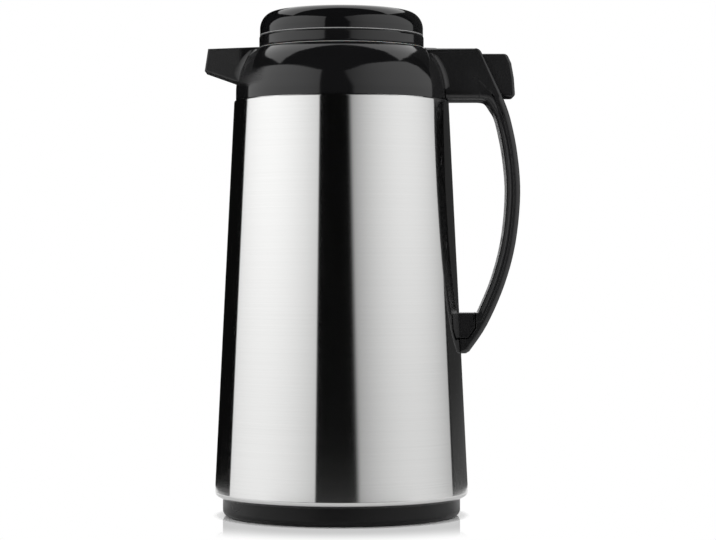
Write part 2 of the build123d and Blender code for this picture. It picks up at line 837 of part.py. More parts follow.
# Handle: the outer moulding with the block, the lever bay, the grip's back and the foot.
with BuildPart() as handle:
    add(handle_blank.part)
    add(cover_region(cover_seam), mode=Mode.SUBTRACT)
    add(bracket_room.part, mode=Mode.SUBTRACT)
    add(shoulder_solid(moulding_gap), mode=Mode.SUBTRACT)
    with BuildSketch(Plane.XZ):
        with BuildLine():
            Polyline(
                (0, jacket_base_z),
                (jacket_radius(jacket_base_z) + moulding_gap, jacket_base_z),
                (jacket_radius(jacket_top_z) + moulding_gap, jacket_top_z),
                (0, jacket_top_z),
                close=True,
            )
        make_face()
    revolve(axis=Axis.Z, mode=Mode.SUBTRACT)
    # Bay in which the thumb lever tilts, open at the back.
    with BuildSketch(Plane.XZ):
        with BuildLine():
            Polyline(*lever_bay_points, close=True)
        make_face()
    extrude(amount=lever_bay_half, both=True, mode=Mode.SUBTRACT)
    # Slot that lets the lever's arm through to the collar, and the recess for the lid hinge.
    with BuildSketch(Plane.XZ):
        with Locations((block_front_x, lever_slot_low_z)):
            Rectangle(
                lever_bay_front_x - block_front_x + swing_gap,
                recess_floor_z - lever_slot_low_z,
                align=(Align.MIN, Align.MIN),
            )
    extrude(amount=lever_slot_half, both=True, mode=Mode.SUBTRACT)
    with BuildSketch(Plane.XZ):
        with Locations((block_front_x, recess_floor_z)):
            Rectangle(
                hinge_x + hinge_recess_rear - block_front_x,
                block_top_z - recess_floor_z,
                align=(Align.MIN, Align.MIN),
            )
    extrude(amount=recess_half, both=True, mode=Mode.SUBTRACT)
    # Blind bores for the two pins.
    with BuildSketch(Plane.XZ):
        with Locations(lever_pivot):
            Circle(lever_pin_r + running_fit)
    extrude(amount=lever_pin_half + moulding_gap, both=True, mode=Mode.SUBTRACT)
    with BuildSketch(Plane.XZ):
        with Locations((hinge_x, hinge_z)):
            Circle(hinge_pin_r + running_fit)
    extrude(amount=hinge_pin_half + moulding_gap, both=True, mode=Mode.SUBTRACT)
    # Pilot holes for the screws from the collar, and the foot screw's hole and counterbore.
    with BuildSketch(Plane.YZ.offset(handle_screw_head_x)):
        with Locations([(y, z) for y in (-handle_screw_y, handle_screw_y) for z in handle_screw_z]):
            Circle(handle_screw_r + running_fit)
    extrude(amount=handle_screw_length + moulding_gap, mode=Mode.SUBTRACT)
    with BuildSketch(Plane.YZ.offset(foot_inner_x)):
        with Locations((0, foot_screw_z)):
            Circle(foot_screw_r + running_fit)
    extrude(amount=collar_r, mode=Mode.SUBTRACT)
    with BuildSketch(Plane.YZ.offset(foot_screw_seat_x)):
        with Locations((0, foot_screw_z)):
            Circle(foot_screw_head_r + moulding_gap)
    extrude(amount=grip_thickness, mode=Mode.SUBTRACT)
    for plane in cover_screw_planes:
        with BuildSketch(plane):
            Circle(cover_screw_r + running_fit)
        extrude(amount=cover_screw_length + moulding_gap, mode=Mode.SUBTRACT)
write(handle, "handle")

# Grip cover: the inner moulding that closes the grip on the side of the fingers.
with BuildPart() as handle_grip_cover:
    add(handle_blank.part)
    add(cover_region(0), mode=Mode.INTERSECT)
    add(bracket_room.part, mode=Mode.SUBTRACT)
    for plane in cover_screw_planes:
        with BuildSketch(plane):
            Circle(cover_screw_r + running_fit)
        extrude(amount=grip_thickness, both=True, mode=Mode.SUBTRACT)
        with BuildSketch(plane):
            Circle(cover_screw_head_r + moulding_gap)
        extrude(amount=-grip_thickness, mode=Mode.SUBTRACT)
write(handle_grip_cover, "handle_grip_cover")

# ======== Thumb lever ========

# Lever: a top and back that the thumb presses, a boss on the pin and an arm with a nose.
with BuildPart() as lever_arm:
    with BuildSketch(Plane.XZ):
        with BuildLine():
            Polyline(
                (nose_front_x, nose_top_z),
                (nose_front_x + nose_length, nose_top_z),
                (nose_front_x + nose_length + nose_top_z - arm_top_z, arm_top_z),
                (lever_pivot[0], arm_top_z),
                (lever_pivot[0], lever_pivot[1] - lever_boss_r),
                *arm_underside,
                close=True,
            )
        make_face()
    extrude(amount=lever_arm_half, both=True)
with BuildPart() as thumb_lever:
    with BuildSketch(Plane.XZ):
        with Locations(lever_pivot):
            Circle(lever_boss_r)
        with BuildLine():
            FilletPolyline(
                *lever_points,
                radius=[lever_rear_round if point == lever_top_rear else 0 for point in lever_points],
                close=True,
            )
        make_face()
    extrude(amount=lever_half, both=True)
    with BuildSketch(Plane.XZ):
        with BuildLine():
            Polyline(*lever_pocket_points, close=True)
        make_face()
    extrude(amount=lever_half - lever_shell, both=True, mode=Mode.SUBTRACT)
    add(lever_arm.part)
    with BuildSketch(Plane.XZ):
        with Locations(lever_pivot):
            Circle(lever_pin_r + running_fit)
    extrude(amount=lever_half, both=True, mode=Mode.SUBTRACT)
write(thumb_lever, "thumb_lever")


def pin(radius, half_length, x, z):
    """A plain round pin lying along Y."""
    with BuildPart() as made:
        with BuildSketch(Plane.XZ):
            with Locations((x, z)):
                Circle(radius)
        extrude(amount=half_length, both=True)
    return made


def coil(radius, wire_r, low_z, high_z, turns, x):
    """A compression spring that stands upright between two heights."""
    height = high_z - low_z - 2 * wire_r
    with BuildPart() as made:
        with BuildLine():
            Helix(pitch=height / turns, height=height, radius=radius, center=(x, 0, low_z + wire_r))
        with BuildSketch(Plane(origin=(x + radius, 0, low_z + wire_r), z_dir=(0, 1, 0))):
            Circle(wire_r)
        sweep()
    return made


write(pin(lever_pin_r, lever_pin_half, *lever_pivot), "lever_pin")
write(pin(hinge_pin_r, hinge_pin_half, hinge_x, hinge_z), "lid_hinge_pin")
lever_spring = coil(
    lever_spring_r,
    spring_wire_r,
    lever_bay_floor_z,
    lever_pivot[1] - lever_boss_r,
    lever_spring_turns,
    lever_spring_x,
)
write(lever_spring, "lever_spring")

# ======== Lid ========

plug_outer_r = bowl_r - swing_gap
plug_inner_r = plug_outer_r - lid_plug_wall
spigot_outer_r = dome_r - dome_wall - moulding_gap
dome_low_z = lid_ring_high_z + lid_groove_height
dome_side_top_z = dome_low_z + dome_side_height
flange_top_z = lid_ring_low_z + lid_plug_wall
guide_r = stem_r + sliding_fit
well_low_z = spring_well_floor_z - spring_well_wall
screw_angles = [360 / lid_screw_count * (turn + 0.5) for turn in range(lid_screw_count)]
screw_spots = [
    (lid_screw_circle_r * cos(radians(turn)), lid_screw_circle_r * sin(radians(turn)))
    for turn in screw_angles
]

# Lid base: floor, plug, ring and hinge arm in one moulding; it carries the rocker's lugs.
with BuildPart() as lid_base:
    with BuildSketch(Plane.XZ):
        with BuildLine():
            Polyline(
                (guide_r, spring_well_floor_z - guide_length),
                (guide_r + guide_wall, spring_well_floor_z - guide_length),
                (guide_r + guide_wall, well_low_z),
                (spring_well_r + spring_well_wall, well_low_z),
                (spring_well_r + spring_well_wall, lid_floor_low_z),
                (plug_inner_r, lid_floor_low_z),
                (plug_inner_r, lid_plug_low_z),
                (plug_outer_r, lid_plug_low_z),
                (plug_outer_r, lid_ring_low_z),
                (lid_ring_r, lid_ring_low_z),
                (lid_ring_r, lid_ring_high_z),
                (lid_groove_r, lid_ring_high_z),
                (lid_groove_r, dome_low_z),
                (spigot_outer_r, dome_low_z),
                (spigot_outer_r, lid_ring_high_z + lid_rim_height),
                (spigot_outer_r - lid_rim_wall, lid_ring_high_z + lid_rim_height),
                (spigot_outer_r - lid_rim_wall, flange_top_z),
                (plug_inner_r, flange_top_z),
                (plug_inner_r, lid_floor_high_z),
                (spring_well_r, lid_floor_high_z),
                (spring_well_r, spring_well_floor_z),
                (guide_r, spring_well_floor_z),
                close=True,
            )
        make_face()
    revolve(axis=Axis.Z)
    ring_edges = lid_base.edges().filter_by(GeomType.CIRCLE).filter_by(
        lambda edge: abs(edge.radius - lid_ring_r) < running_fit
    )
    fillet(ring_edges, lid_ring_round)
    # Way for the lever's nose under the plug.
    with BuildSketch(Plane.XY.offset(lid_plug_low_z)):
        with Locations((stopper_r, 0)):
            Rectangle(plug_outer_r - rocker_front_x, 2 * lever_slot_half, align=(Align.MIN, Align.CENTER))
    extrude(amount=lid_floor_low_z - lid_plug_low_z, mode=Mode.SUBTRACT)
    # Hinge arm and knuckle.
    with BuildSketch(Plane.XZ):
        with BuildLine():
            Polyline(
                (rocker_slot_front_x, arm_plate_low_z),
                (hinge_x - knuckle_r, arm_plate_low_z),
                (hinge_x, hinge_z),
                (hinge_x, hinge_z + knuckle_r),
                (hinge_x - hinge_recess_rear + swing_gap, arm_plate_high_z),
                (lid_ring_r - lid_ring_round, lid_ring_low_z),
                (rocker_slot_front_x, lid_ring_low_z),
                close=True,
            )
        make_face()
        with Locations((hinge_x, hinge_z)):
            Circle(knuckle_r)
    extrude(amount=knuckle_half, both=True)
    with BuildSketch(Plane.XZ):
        with Locations((hinge_x, hinge_z)):
            Circle(hinge_pin_r + running_fit)
    extrude(amount=knuckle_half, both=True, mode=Mode.SUBTRACT)
    # Slot for the rocker's tail.
    with BuildSketch(Plane.XZ):
        with BuildLine():
            Polyline(
                (rocker_slot_front_x, lid_plug_low_z),
                (rocker_slot_rear_x, lid_plug_low_z),
                (rocker_slot_rear_x, rocker_slot_step_z),
                (rocker_slot_step_x, rocker_slot_step_z),
                (rocker_slot_step_x, dome_top_z),
                (rocker_slot_front_x, dome_top_z),
                close=True,
            )
        make_face()
    extrude(amount=rocker_slot_half, both=True, mode=Mode.SUBTRACT)
    # Lugs that hold the rocker's pin.
    with BuildSketch(Plane.XZ):
        with Locations(rocker_pivot):
            Circle(rocker_boss_r)
        with Locations((rocker_pivot[0], lid_floor_low_z)):
            Rectangle(2 * rocker_boss_r, rocker_pivot[1] - lid_floor_low_z, align=(Align.CENTER, Align.MIN))
    extrude(amount=rocker_half + lug_gap + lug_wall, both=True)
    with BuildSketch(Plane.XZ):
        with Locations((rocker_pivot[0], lid_floor_high_z)):
            Rectangle(4 * rocker_boss_r, 4 * rocker_boss_r, align=(Align.CENTER, Align.MIN))
    extrude(amount=rocker_half + lug_gap, both=True, mode=Mode.SUBTRACT)
    with BuildSketch(Plane.XZ):
        with Locations(rocker_pivot):
            Circle(rocker_pin_r + running_fit)
    extrude(amount=rocker_half + lug_gap + lug_wall, both=True, mode=Mode.SUBTRACT)
    # Holes for the screws that hold the stopper.
    with BuildSketch(Plane.XY.offset(lid_floor_low_z)):
        with Locations(screw_spots):
            Circle(lid_screw_r + running_fit)
    extrude(amount=lid_floor_high_z - lid_floor_low_z, mode=Mode.SUBTRACT)
write(lid_base, "lid_base")

# Lid cover: the domed cap that snaps over the lid base's spigot.
dome_centre = (dome_r - dome_round_rx, dome_side_top_z)
with BuildPart() as lid_cover:
    with BuildSketch(Plane.XZ):
        with BuildLine():
            outside = EllipticalCenterArc(
                dome_centre, dome_round_rx, dome_round_rz, arc_size=dome_round_sweep
            )
            crown = TangentArc((0, dome_top_z), outside @ 1, tangent=(1, 0))
            inside = EllipticalCenterArc(
                dome_centre,
                dome_round_rx - dome_wall,
                dome_round_rz - dome_wall,
                arc_size=dome_round_sweep,
            )
            under_crown = TangentArc((0, dome_top_z - dome_wall), inside @ 1, tangent=(1, 0))
            Line(crown @ 0, under_crown @ 0)
            Polyline(
                inside @ 0,
                (dome_r - dome_wall, dome_low_z),
                (dome_r, dome_low_z),
                outside @ 0,
            )
        make_face()
    revolve(axis=Axis.Z)
write(lid_cover, "lid_cover")

# ======== Stopper and valve ========


def stopper_cone_r(z):
    """Outer radius of the stopper's cone at height z."""
    return throat_r - stopper_cone_gap + z - bowl_cone_low_z


# Stopper gasket: a silicone ring seated in the cone, just clear of the bowl.
seal_step = hypot(seal_gap, seal_gap)
with BuildPart() as stopper_gasket:
    with BuildSketch(Plane.XZ):
        with BuildLine():
            Polyline(
                (stopper_cone_r(stopper_gasket_low_z) - stopper_gasket_seat, stopper_gasket_low_z),
                (
                    stopper_cone_r(stopper_gasket_low_z) + stopper_cone_gap - seal_step,
                    stopper_gasket_low_z,
                ),
                (
                    stopper_cone_r(stopper_gasket_high_z) + stopper_cone_gap - seal_step,
                    stopper_gasket_high_z,
                ),
                (stopper_cone_r(stopper_gasket_high_z) - stopper_gasket_seat, stopper_gasket_high_z),
                close=True,
            )
        make_face()
    revolve(axis=Axis.Z)
write(stopper_gasket, "stopper_gasket")

# Stopper: a cup under the lid with the valve seat in its floor and a port towards the spout.
cone_top_z = stopper_bottom_z + stopper_r - stopper_cone_r(stopper_bottom_z)
with BuildPart() as stopper_body:
    with BuildSketch(Plane.XZ):
        with BuildLine():
            Polyline(
                (valve_seat_r, stopper_bottom_z),
                (stopper_cone_r(stopper_bottom_z), stopper_bottom_z),
                (stopper_r, cone_top_z),
                (stopper_r, lid_floor_low_z),
            )
            offset(amount=stopper_wall, side=Side.LEFT)
        make_face()
    revolve(axis=Axis.Z)
    with BuildSketch(Plane.XY.offset(lid_screw_boss_low_z)):
        with Locations(screw_spots):
            Circle(lid_screw_boss_r)
    extrude(amount=lid_floor_low_z - lid_screw_boss_low_z)
    with BuildSketch(Plane.XY.offset(lid_screw_boss_low_z)):
        with Locations(screw_spots):
            Circle(lid_screw_r + running_fit)
    extrude(amount=lid_floor_low_z - lid_screw_boss_low_z, mode=Mode.SUBTRACT)
    with BuildSketch(Plane.YZ.offset(-stopper_r - stopper_wall)):
        with Locations((0, port_low_z)):
            Rectangle(2 * port_half, port_high_z - port_low_z, align=(Align.CENTER, Align.MIN))
    extrude(amount=stopper_r / 2, mode=Mode.SUBTRACT)
    add(stopper_gasket.part, mode=Mode.SUBTRACT)
write(stopper_body, "stopper_body")

# Valve: disc below the seat, stem through the guide and cap under the rocker's pad.
seal_top_z = stopper_bottom_z - seal_gap
disc_top_z = seal_top_z - valve_seal_thickness
with BuildPart() as valve_stem:
    with BuildSketch(Plane.XY.offset(disc_top_z)):
        Circle(valve_disc_r)
    extrude(amount=-valve_disc_thickness)
    with BuildSketch(Plane.XY.offset(disc_top_z)):
        Circle(stem_r)
    extrude(amount=stem_cap_z - disc_top_z)
    with BuildSketch(Plane.XY.offset(stem_cap_z)):
        Circle(stem_cap_r)
    extrude(amount=stem_cap_thickness)
write(valve_stem, "valve_stem")

# Valve seal: a flat silicone ring that lies on the disc.
with BuildPart() as valve_seal:
    with BuildSketch(Plane.XY.offset(disc_top_z)):
        Circle(valve_seal_inner_r + valve_seal_width)
        Circle(valve_seal_inner_r, mode=Mode.SUBTRACT)
    extrude(amount=valve_seal_thickness)
write(valve_seal, "valve_seal")
valve_spring = coil(
    valve_spring_r, spring_wire_r, spring_well_floor_z, stem_cap_z, valve_spring_turns, 0
)
write(valve_spring, "valve_spring")

# Rocker: turns the upward push of the lever's nose into a downward push on the stem.
bar_low_z = rocker_pivot[1] - rocker_bar / 2
bar_high_z = rocker_pivot[1] + rocker_bar / 2
pad_z = stem_cap_z + stem_cap_thickness + contact_gap
with BuildPart() as valve_rocker:
    with BuildSketch(Plane.XZ):
        with BuildLine():
            Polyline(
                (rocker_front_x, pad_z),
                (-rocker_front_x, pad_z),
                (-rocker_front_x, bar_low_z),
                (rocker_tail_front_x, bar_low_z),
                (rocker_tail_front_x, nose_top_z + contact_gap),
                (rocker_tail_front_x + rocker_tail, nose_top_z + contact_gap),
                (rocker_tail_front_x + rocker_tail, bar_high_z),
                (rocker_front_x, bar_high_z),
                close=True,
            )
        make_face()
        with Locations(rocker_pivot):
            Circle(rocker_boss_r)
        with Locations(rocker_pivot):
            Circle(rocker_pin_r + running_fit, mode=Mode.SUBTRACT)
    extrude(amount=rocker_half, both=True)
write(valve_rocker, "valve_rocker")
write(pin(rocker_pin_r, rocker_half + lug_gap + lug_wall, *rocker_pivot), "rocker_pin")

# ======== Screws and rivets ========


def screw(plane, spots, radius, length, head_r, head):
    """Identical screws or rivets: heads below the plane, shanks above it."""
    with BuildPart() as made:
        with BuildSketch(plane):
            with Locations(spots):
                Circle(radius)
        extrude(amount=length)
        with BuildSketch(plane):
            with Locations(spots):
                Circle(head_r)
        extrude(amount=-head)
    return made


handle_screws = screw(
    Plane.YZ.offset(handle_screw_head_x),
    [(y, z) for y in (-handle_screw_y, handle_screw_y) for z in handle_screw_z],
    handle_screw_r,
    handle_screw_length,
    handle_screw_head_r,
    handle_screw_head,
)
write(handle_screws, "handle_screws")
foot_screw = screw(
    Plane(origin=(foot_screw_seat_x, 0, foot_screw_z), x_dir=(0, 1, 0), z_dir=(-1, 0, 0)),
    [(0, 0)],
    foot_screw_r,
    foot_screw_length,
    foot_screw_head_r,
    foot_screw_head,
)
write(foot_screw, "foot_screw")
lid_screws = screw(
    Plane(origin=(0, 0, lid_floor_high_z), z_dir=(0, 0, -1)),
    [(x, -y) for x, y in screw_spots],
    lid_screw_r,
    lid_screw_length,
    lid_screw_head_r,
    lid_screw_head,
)
write(lid_screws, "lid_screws")
inner_jacket_r = jacket_radius(rivet_z) - jacket_wall
rivet_seat_x = sqrt(inner_jacket_r**2 - (rivet_y + rivet_head_r) ** 2) - running_fit
bracket_rivets = screw(
    Plane.YZ.offset(rivet_seat_x),
    [(-rivet_y, rivet_z), (rivet_y, rivet_z)],
    rivet_r,
    rivet_length,
    rivet_head_r,
    rivet_head,
)
write(bracket_rivets, "bracket_rivets")
with BuildPart() as cover_screws:
    for plane in cover_screw_planes:
        with BuildSketch(plane):
            Circle(cover_screw_r)
        extrude(amount=cover_screw_length)
        with BuildSketch(plane):
            Circle(cover_screw_head_r)
        extrude(amount=-cover_screw_head)
write(cover_screws, "cover_screws")
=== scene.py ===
from math import cos, hypot, pi, radians, sin, sqrt

import bmesh
import bpy
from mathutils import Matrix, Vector


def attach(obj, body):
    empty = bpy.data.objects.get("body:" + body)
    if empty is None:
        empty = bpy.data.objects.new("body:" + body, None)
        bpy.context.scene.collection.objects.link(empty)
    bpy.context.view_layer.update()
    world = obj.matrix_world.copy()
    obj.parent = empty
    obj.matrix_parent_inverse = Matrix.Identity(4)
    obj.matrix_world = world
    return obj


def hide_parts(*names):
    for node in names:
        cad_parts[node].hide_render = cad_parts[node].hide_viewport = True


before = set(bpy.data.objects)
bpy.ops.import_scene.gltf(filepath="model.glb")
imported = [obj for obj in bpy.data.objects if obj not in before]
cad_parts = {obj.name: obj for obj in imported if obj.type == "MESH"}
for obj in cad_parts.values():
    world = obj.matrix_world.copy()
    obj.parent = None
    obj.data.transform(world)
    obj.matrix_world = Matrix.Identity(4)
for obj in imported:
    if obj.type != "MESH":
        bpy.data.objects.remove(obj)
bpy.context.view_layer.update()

scene = bpy.context.scene
scene.view_settings.view_transform = "Standard"

# ---- Camera ----
# A long lens, level with the middle of the jacket and square to the plane through spout and
# handle, so that both show in full outline.
camera = bpy.data.objects.new("camera", bpy.data.cameras.new("camera"))
scene.collection.objects.link(camera)
camera.location = (0.0101, -1.400, 0.150)
camera.rotation_euler = (radians(90.0), 0, 0)
camera.data.lens = 114.8
camera.data.sensor_width = 36
scene.camera = camera


# ---- Studio ----
# A white room with a long soft panel on each side and a white sheet that hangs from overhead
# to behind the table. The camera's side is dark, which draws the black bars on bright metal.
def wire(tree, kind, *inputs, **settings):
    """Add a node, set its properties and feed its inputs in order with values or sockets."""
    node = tree.nodes.new(kind)
    for name, value in settings.items():
        setattr(node, name, value)
    for socket, value in zip(node.inputs, inputs):
        if isinstance(value, bpy.types.NodeSocket):
            tree.links.new(value, socket)
        elif value is not None:
            socket.default_value = value
    return node


def sum_up(tree, operation, *inputs):
    """One Math node; returns its result."""
    return wire(tree, "ShaderNodeMath", *inputs, operation=operation).outputs[0]


def ramp(tree, value, low, high):
    """Nought below low, one above high, and a soft step between them."""
    node = wire(tree, "ShaderNodeMapRange", value, low, high, 0.0, 1.0, interpolation_type="SMOOTHSTEP")
    return node.outputs[0]


world = bpy.data.worlds.new("studio")
scene.world = world
world.use_nodes = True
sky = world.node_tree
sky.nodes.clear()
way = wire(sky, "ShaderNodeTexCoord").outputs["Generated"]
sideways, along, up = wire(sky, "ShaderNodeSeparateXYZ", way).outputs
bearing = sum_up(sky, "ARCTAN2", sideways, sum_up(sky, "MULTIPLY", along, -1.0))
bearing = sum_up(sky, "MULTIPLY", bearing, 180 / pi)
to_side = sum_up(sky, "MAXIMUM", sum_up(sky, "ABSOLUTE", sideways), 0.001)
panel_u = sum_up(sky, "DIVIDE", along, to_side)
panel_w = sum_up(sky, "DIVIDE", up, to_side)


def panel(sign, front_low, front_high, lean, rear, top, slope, strength, centre, falloff):
    """A side panel: between two bearings, under a sloping top edge with a cut rear corner.

    Its front edge leans, and its light is strongest at the centre bearing and high up.
    """
    turn = sum_up(sky, "MULTIPLY", bearing, sign)
    front = ramp(sky, sum_up(sky, "ADD", turn, sum_up(sky, "MULTIPLY", up, lean)), front_low, front_high)
    back = ramp(sky, turn, rear + 0.6, rear - 0.6)
    edge = sum_up(sky, "MINIMUM",
                  sum_up(sky, "SUBTRACT", top, sum_up(sky, "MULTIPLY", panel_u, slope)),
                  sum_up(sky, "SUBTRACT", 1.0, sum_up(sky, "MULTIPLY", panel_u, 1.4)))
    under = ramp(sky, sum_up(sky, "SUBTRACT", edge, panel_w), -0.015, 0.015)
    shape = sum_up(sky, "MULTIPLY", sum_up(sky, "MULTIPLY", front, back), under)
    off_centre = sum_up(sky, "POWER", sum_up(sky, "ABSOLUTE", sum_up(sky, "SUBTRACT", turn, centre)), 2.0)
    light = sum_up(sky, "SUBTRACT", 1.0, sum_up(sky, "MULTIPLY", off_centre, falloff))
    low_light = wire(sky, "ShaderNodeMapRange", up, 0.0, 0.16, 0.84, 1.0).outputs[0]
    light = sum_up(sky, "MULTIPLY", sum_up(sky, "MULTIPLY", light, low_light), strength)
    return sum_up(sky, "MULTIPLY", shape, light)


panel_rear = 121.0
left_panel = panel(-1.0, front_low=22.4, front_high=23.6, lean=0.0, rear=panel_rear, top=0.70, slope=0.41,
                   strength=1.44, centre=83.0, falloff=0.00010)
right_panel = panel(1.0, front_low=11.7, front_high=17.1, lean=20.0, rear=panel_rear, top=0.89, slope=0.55,
                    strength=1.15, centre=72.0, falloff=0.000155)
# The overhead sheet: how far sideways and how far back each view line meets it.
height = sum_up(sky, "MAXIMUM", up, 0.001)
over_p = sum_up(sky, "ABSOLUTE", sum_up(sky, "DIVIDE", sideways, height))
over_q = sum_up(sky, "DIVIDE", along, height)
over_edge = sum_up(sky, "SUBTRACT", 0.19, sum_up(sky, "MULTIPLY", over_p, 0.22))
sheet_front = ramp(sky, sum_up(sky, "SUBTRACT", over_q, over_edge), -0.02, 0.02)
on_left = ramp(sky, sideways, 0.01, -0.01)
over_half = sum_up(sky, "ADD", 1.05, sum_up(sky, "MULTIPLY", on_left, 0.17))
over_half = sum_up(sky, "SUBTRACT", over_half, sum_up(sky, "MULTIPLY", over_q, 0.25))
over_rear = sum_up(sky, "SUBTRACT", 1.68, sum_up(sky, "MULTIPLY", over_q, 0.75))
over_half = sum_up(sky, "MAXIMUM", sum_up(sky, "MINIMUM", over_half, over_rear), 0.30)
sheet_side = ramp(sky, sum_up(sky, "SUBTRACT", over_half, over_p), -0.02, 0.02)
sheet = sum_up(sky, "MULTIPLY", sum_up(sky, "MULTIPLY", sheet_front, sheet_side), 1.35)
# The sheet's lower end stands straight behind the table, so that the table top mirrors white.
behind = sum_up(sky, "SUBTRACT", along, sum_up(sky, "MULTIPLY", sum_up(sky, "ABSOLUTE", sideways), 8.0))
low_strip = sum_up(sky, "MULTIPLY", ramp(sky, up, 0.0, 0.01), ramp(sky, up, 0.45, 0.30))
behind = sum_up(sky, "MULTIPLY", ramp(sky, behind, -0.02, 0.02), low_strip)
sheet = sum_up(sky, "MAXIMUM", sheet, behind)
# Some light spills past the right panel's rear edge, most of it low down.
spill = wire(sky, "ShaderNodeMapRange", up, -0.075, -0.02, 0.085, 0.026).outputs[0]
spill = sum_up(sky, "MULTIPLY", ramp(sky, bearing, panel_rear, panel_rear + 5.0), spill)
room = sum_up(sky, "ADD", sum_up(sky, "ADD", left_panel, right_panel), sum_up(sky, "ADD", sheet, spill))
room = sum_up(sky, "ADD", room, 0.004)
path = wire(sky, "ShaderNodeLightPath")
plain = sum_up(sky, "MAXIMUM", path.outputs["Is Camera Ray"], path.outputs["Is Transmission Ray"])
plain = sum_up(sky, "MAXIMUM", plain, path.outputs["Is Diffuse Ray"])
mirror = sum_up(sky, "MULTIPLY", room, path.outputs["Is Glossy Ray"])
level = sum_up(sky, "ADD", plain, mirror)
pure_white = (1.0, 1.0, 1.0, 1.0)
glow = wire(sky, "ShaderNodeBackground", pure_white, level)
wire(sky, "ShaderNodeOutputWorld", glow.outputs[0])

# The table: a round white top with a faint gloss where the carafe stands.
table = bpy.data.objects.new("table_top", bpy.data.meshes.new("table_top"))
table_r = 0.22
table_rim = [(table_r * cos(radians(a)), table_r * sin(radians(a)), 0) for a in range(0, 360, 3)]
table.data.from_pydata(table_rim, [], [tuple(range(len(table_rim)))])
scene.collection.objects.link(table)
laminate = bpy.data.materials.new("white_laminate")
laminate.use_nodes = True
tree = laminate.node_tree
tree.nodes.clear()
place = wire(tree, "ShaderNodeTexCoord").outputs["Object"]
path = wire(tree, "ShaderNodeLightPath")
# Painted shade: the camera's side of the top is painted dark for reflected rays, which bright metal mirrors
# at a flat angle.
flat_angle = wire(tree, "ShaderNodeFresnel", 1.45).outputs[0]
near_side_painted_shade = wire(tree, "ShaderNodeSeparateXYZ", place).outputs["Y"]
near_side_painted_shade = sum_up(tree, "MULTIPLY", ramp(tree, near_side_painted_shade, -0.095, -0.150), path.outputs["Is Glossy Ray"])
near_side_painted_shade = sum_up(tree, "MULTIPLY", near_side_painted_shade, ramp(tree, flat_angle, 0.15, 0.45))
paper_and_painted_shade = sum_up(tree, "SUBTRACT", 1.0, sum_up(tree, "MULTIPLY", near_side_painted_shade, 0.9))
matte = wire(tree, "ShaderNodeBsdfDiffuse", paper_and_painted_shade)
shine = wire(tree, "ShaderNodeBsdfGlossy", pure_white, 0.05)
reach = wire(tree, "ShaderNodeVectorMath", place, operation="LENGTH").outputs["Value"]
# Past the foot's contact shadow the top runs out into the white of the room.
white = wire(tree, "ShaderNodeEmission", pure_white, 1.0)
shadow_ends = ramp(tree, reach, 0.0745, 0.0795)
runs_out = sum_up(tree, "MULTIPLY", path.outputs["Is Camera Ray"], shadow_ends)
ground = wire(tree, "ShaderNodeMixShader", runs_out, matte.outputs[0], white.outputs[0])
varnish = sum_up(tree, "MULTIPLY", flat_angle, 0.82)
gloss = sum_up(tree, "MULTIPLY", ramp(tree, reach, 0.145, 0.09), varnish)
top = wire(tree, "ShaderNodeMixShader", gloss, ground.outputs[0], shine.outputs[0])
wire(tree, "ShaderNodeOutputMaterial", top.outputs[0])
table.data.materials.append(laminate)


# ---- Glass flask ----
# Two thin walls of blown glass, melted together at the lip, with the air drawn out between
# them. Both are silvered on the vacuum side, so they look like mirrors with a faint tint.
def begin_finish(name):
    """A new finish: the material, its tree, its shader and the place on the piece."""
    material = bpy.data.materials.new(name)
    material.use_nodes = True
    tree = material.node_tree
    place = wire(tree, "ShaderNodeTexCoord").outputs["Object"]
    return material, tree, tree.nodes["Principled BSDF"], place


def spread(tree, noise, low, high):
    """Stretch a noise, which mostly keeps to its middle range, between two values."""
    return wire(tree, "ShaderNodeMapRange", noise.outputs[0], 0.3, 0.7, low, high).outputs[0]


def mottle(tree, place, size, low, high, detail=2.0):
    """Soft noise with patches of a size in metres, spread between two values."""
    noise = wire(tree, "ShaderNodeTexNoise", place, None, 1 / size, detail, 0.5)
    return spread(tree, noise, low, high)


def tint(tree, shader, colour, tone):
    """Colour the shader, lighter and darker with a tone."""
    mix = wire(tree, "ShaderNodeMix", data_type="RGBA", blend_type="MULTIPLY")
    mix.inputs[0].default_value = 1.0
    mix.inputs[6].default_value = (*colour, 1.0)
    tree.links.new(tone, mix.inputs[7])
    tree.links.new(mix.outputs[2], shader.inputs["Base Color"])


def emboss(tree, shader, height, strength, depth):
    """Raise the surface by a height pattern, depth in metres."""
    bump = wire(tree, "ShaderNodeBump", strength, depth)
    tree.links.new(height, bump.inputs["Height"])
    tree.links.new(bump.outputs[0], shader.inputs["Normal"])


def dress(name, material):
    """Give a piece that comes straight from the drawing its finish."""
    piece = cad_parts[name]
    piece.data.materials.clear()
    piece.data.materials.append(material)


def silvered(name, colour):
    """Silvered glass: a mirror under clear glass, a little cloudy where the silver is thin."""
    material, tree, shader, place = begin_finish(name)
    tint(tree, shader, colour, mottle(tree, place, 0.030, 0.90, 1.04))
    tree.links.new(mottle(tree, place, 0.012, 0.04, 0.10), shader.inputs["Roughness"])
    emboss(tree, shader, mottle(tree, place, 0.045, 0.0, 1.0, 1.0), 0.15, 0.0006)
    shader.inputs["Metallic"].default_value = 1.0
    shader.inputs["Coat Weight"].default_value = 0.6
    shader.inputs["Coat Roughness"].default_value = 0.03
    return material


dress("liner_outer_flask", silvered("silvered_glass_outer", (0.80, 0.80, 0.78)))
dress("liner_inner_flask", silvered("silvered_glass_inner", (0.84, 0.84, 0.83)))


